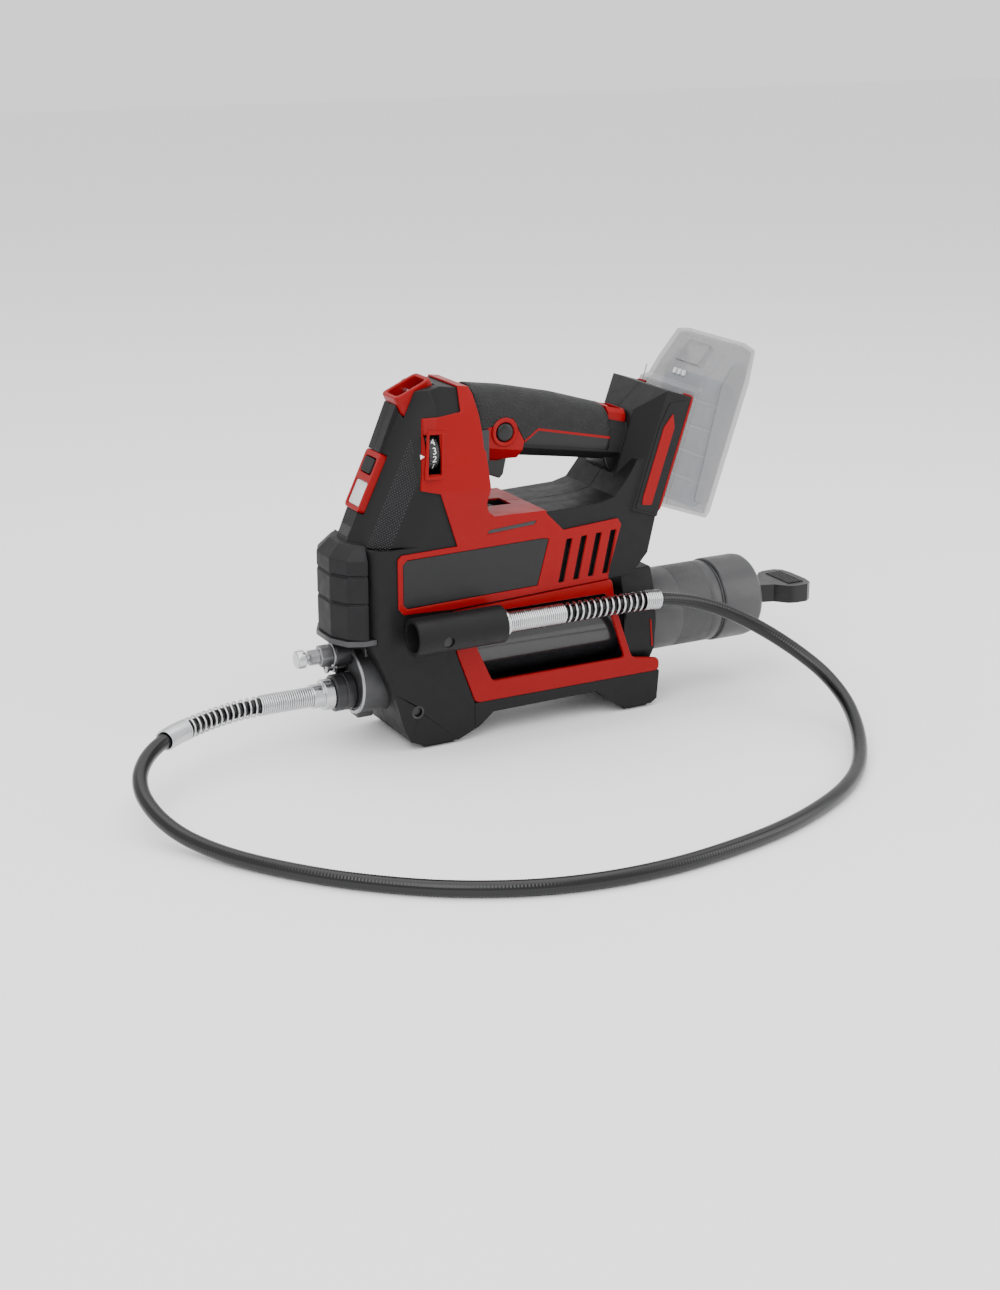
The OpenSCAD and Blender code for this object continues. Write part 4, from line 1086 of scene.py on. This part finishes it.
# --- stage, in metres -------------------------------------------------------
CAMERA_AT = (-0.6135, -1.2786, 0.5426)
CAMERA_TILT, CAMERA_TURN = 71.4, -28
AIM = (0.05, 0, 0.1)
FLOOR_HALF = 6000
DAYLIGHT = 1.25


def soft_light(name, at, power, size):
    """Rectangular lamp that points at the middle of the gun."""
    data = bpy.data.lights.new(name, "AREA")
    data.energy, data.shape = power, "RECTANGLE"
    data.size, data.size_y = size
    lamp = bpy.data.objects.new(name, data)
    bpy.context.scene.collection.objects.link(lamp)
    lamp.location = at
    lamp.rotation_euler = (Vector(AIM) - Vector(at)).to_track_quat("-Z", "Y").to_euler()


class GREASEGUN_OT_stage(bpy.types.Operator):
    """Floor, soft studio lights and the camera"""
    bl_idname = "grease_gun.stage"
    bl_label = "Stage"

    def execute(self, context):
        settings = context.scene.gun_stage
        camera = bpy.data.objects.new("camera", bpy.data.cameras.new("camera"))
        context.scene.collection.objects.link(camera)
        camera.data.lens, camera.data.sensor_width = settings.lens, 36
        camera.location = CAMERA_AT
        camera.rotation_euler = (math.radians(CAMERA_TILT), 0, math.radians(CAMERA_TURN))
        camera.data.clip_start = 0.05
        context.scene.camera = camera
        floor = prism("floor", box_outline(-FLOOR_HALF, FLOOR_HALF, -FLOOR_HALF, FLOOR_HALF),
                      -6, -0.05, "Z")
        paint(floor, surface("floor", tuple(settings.floor), tuple(settings.floor),
                             rough=(0.6, 0.7), grain=0.01, bump=0.0, patch=0.5))
        world = bpy.data.worlds.new("studio")
        world.use_nodes = True
        sky = world.node_tree.nodes["Background"]
        sky.inputs["Color"].default_value = (1, 1, 1, 1)
        sky.inputs["Strength"].default_value = DAYLIGHT
        context.scene.world = world
        soft_light("key", (-0.9, -1.1, 1.5), settings.key, (1.4, 1.4))
        soft_light("top", (0.1, 0.1, 1.9), settings.key * 1.3, (2.4, 2.0))
        soft_light("fill", (1.3, -0.9, 0.7), settings.key * 0.4, (0.9, 1.2))
        return {"FINISHED"}


# --- everything that keeps its CAD shape ------------------------------------
PLAIN = {
    casing: ["left_shell", "right_shell", "cradle_base", "rear_saddle", "coupler_holder",
             "switch_module"],
    smooth_casing: ["badge_plates", "lock_lever", "mode_slider"],
    accent: ["left_cover", "right_cover"],
    rubber: ["foot_pads"],
    cast_metal: ["gear_case", "pump_head"],
    machined: ["planet_gear_1", "planet_gear_2", "planet_gear_3", "ring_gear",
               "crank_carrier", "pump_yoke", "motor_rotor"],
    bright_steel: ["strap_pins", "follower_rod", "motor_bearings", "main_spring",
                   "trigger_spring", "follower_piston"],
    black_oxide: ["screws"],
    barrel_paint: ["barrel_tube"],
    copper: ["motor_stator"],
    brass: ["dock_terminals"],
    board_green: ["control_board"],
    cell_wrap: ["battery_cells"],
}
# nodes with a wider rounding than the settings', in metres
ROUND = {"trigger": (smooth_casing, 0.0012), "t_handle": (smooth_casing, 0.002),
         "rear_eyelet": (accent, 0.0011)}
# inner works that keep their mesh as it is
FINE = {"main_spring", "ring_gear", "planet_gear_1", "planet_gear_2", "planet_gear_3",
        "motor_rotor", "motor_stator", "screws", "motor_bearings", "control_board",
        "trigger_spring", "dock_terminals", "battery_cells"}


class GREASEGUN_OT_plain(bpy.types.Operator):
    """Pieces that keep their CAD shape, with rounded edges and their finish"""
    bl_idname = "grease_gun.plain"
    bl_label = "Casings and works"

    def execute(self, context):
        for finish, nodes in PLAIN.items():
            material = finish()
            for node in nodes:
                if node in FINE:
                    paint(frame["nodes"][node], material)
                else:
                    paint(moulded(node), material)
        pale = frosted("frosted_pack", tuple(context.scene.gun_finish.pack))
        for node in ("battery_shell", "battery_latch"):
            paint(moulded(node), pale)
        for node, (finish, width) in ROUND.items():
            paint(moulded(node, width, 3), finish())
        return {"FINISHED"}


class GREASEGUN_PT_panel(bpy.types.Panel):
    """Sidebar panel with the pieces"""
    bl_idname = "GREASEGUN_PT_panel"
    bl_label = "Grease Gun"
    bl_space_type = "VIEW_3D"
    bl_region_type = "UI"
    bl_category = "Grease Gun"

    def draw(self, context):
        for group in SETTINGS:
            settings = getattr(context.scene, group)
            for name in type(settings).__annotations__:
                self.layout.prop(settings, name)
        for step in STEPS:
            self.layout.operator(step.bl_idname)


STEPS = [GREASEGUN_OT_stage, GREASEGUN_OT_hose, GREASEGUN_OT_plain, GREASEGUN_OT_handle,
         GREASEGUN_OT_nose, GREASEGUN_OT_controls, GREASEGUN_OT_dock, GREASEGUN_OT_barrel,
         GREASEGUN_OT_cradle, GREASEGUN_OT_fittings]
SETTINGS = {"gun_finish": FinishSettings, "gun_hose": HoseSettings,
            "gun_stage": StageSettings}
CLASSES = [*SETTINGS.values(), *STEPS, GREASEGUN_PT_panel]


def register():
    for cls in CLASSES:
        bpy.utils.register_class(cls)
    for name, group in SETTINGS.items():
        setattr(bpy.types.Scene, name, bpy.props.PointerProperty(type=group))


def unregister():
    for name in SETTINGS:
        delattr(bpy.types.Scene, name)
    for cls in reversed(CLASSES):
        bpy.utils.unregister_class(cls)


def main():
    register()
    for step in STEPS:
        group, name = step.bl_idname.split(".")
        if getattr(getattr(bpy.ops, group), name)() != {"FINISHED"}:
            raise RuntimeError(step.bl_label + " did not finish")


if __name__ == "__main__":
    main()
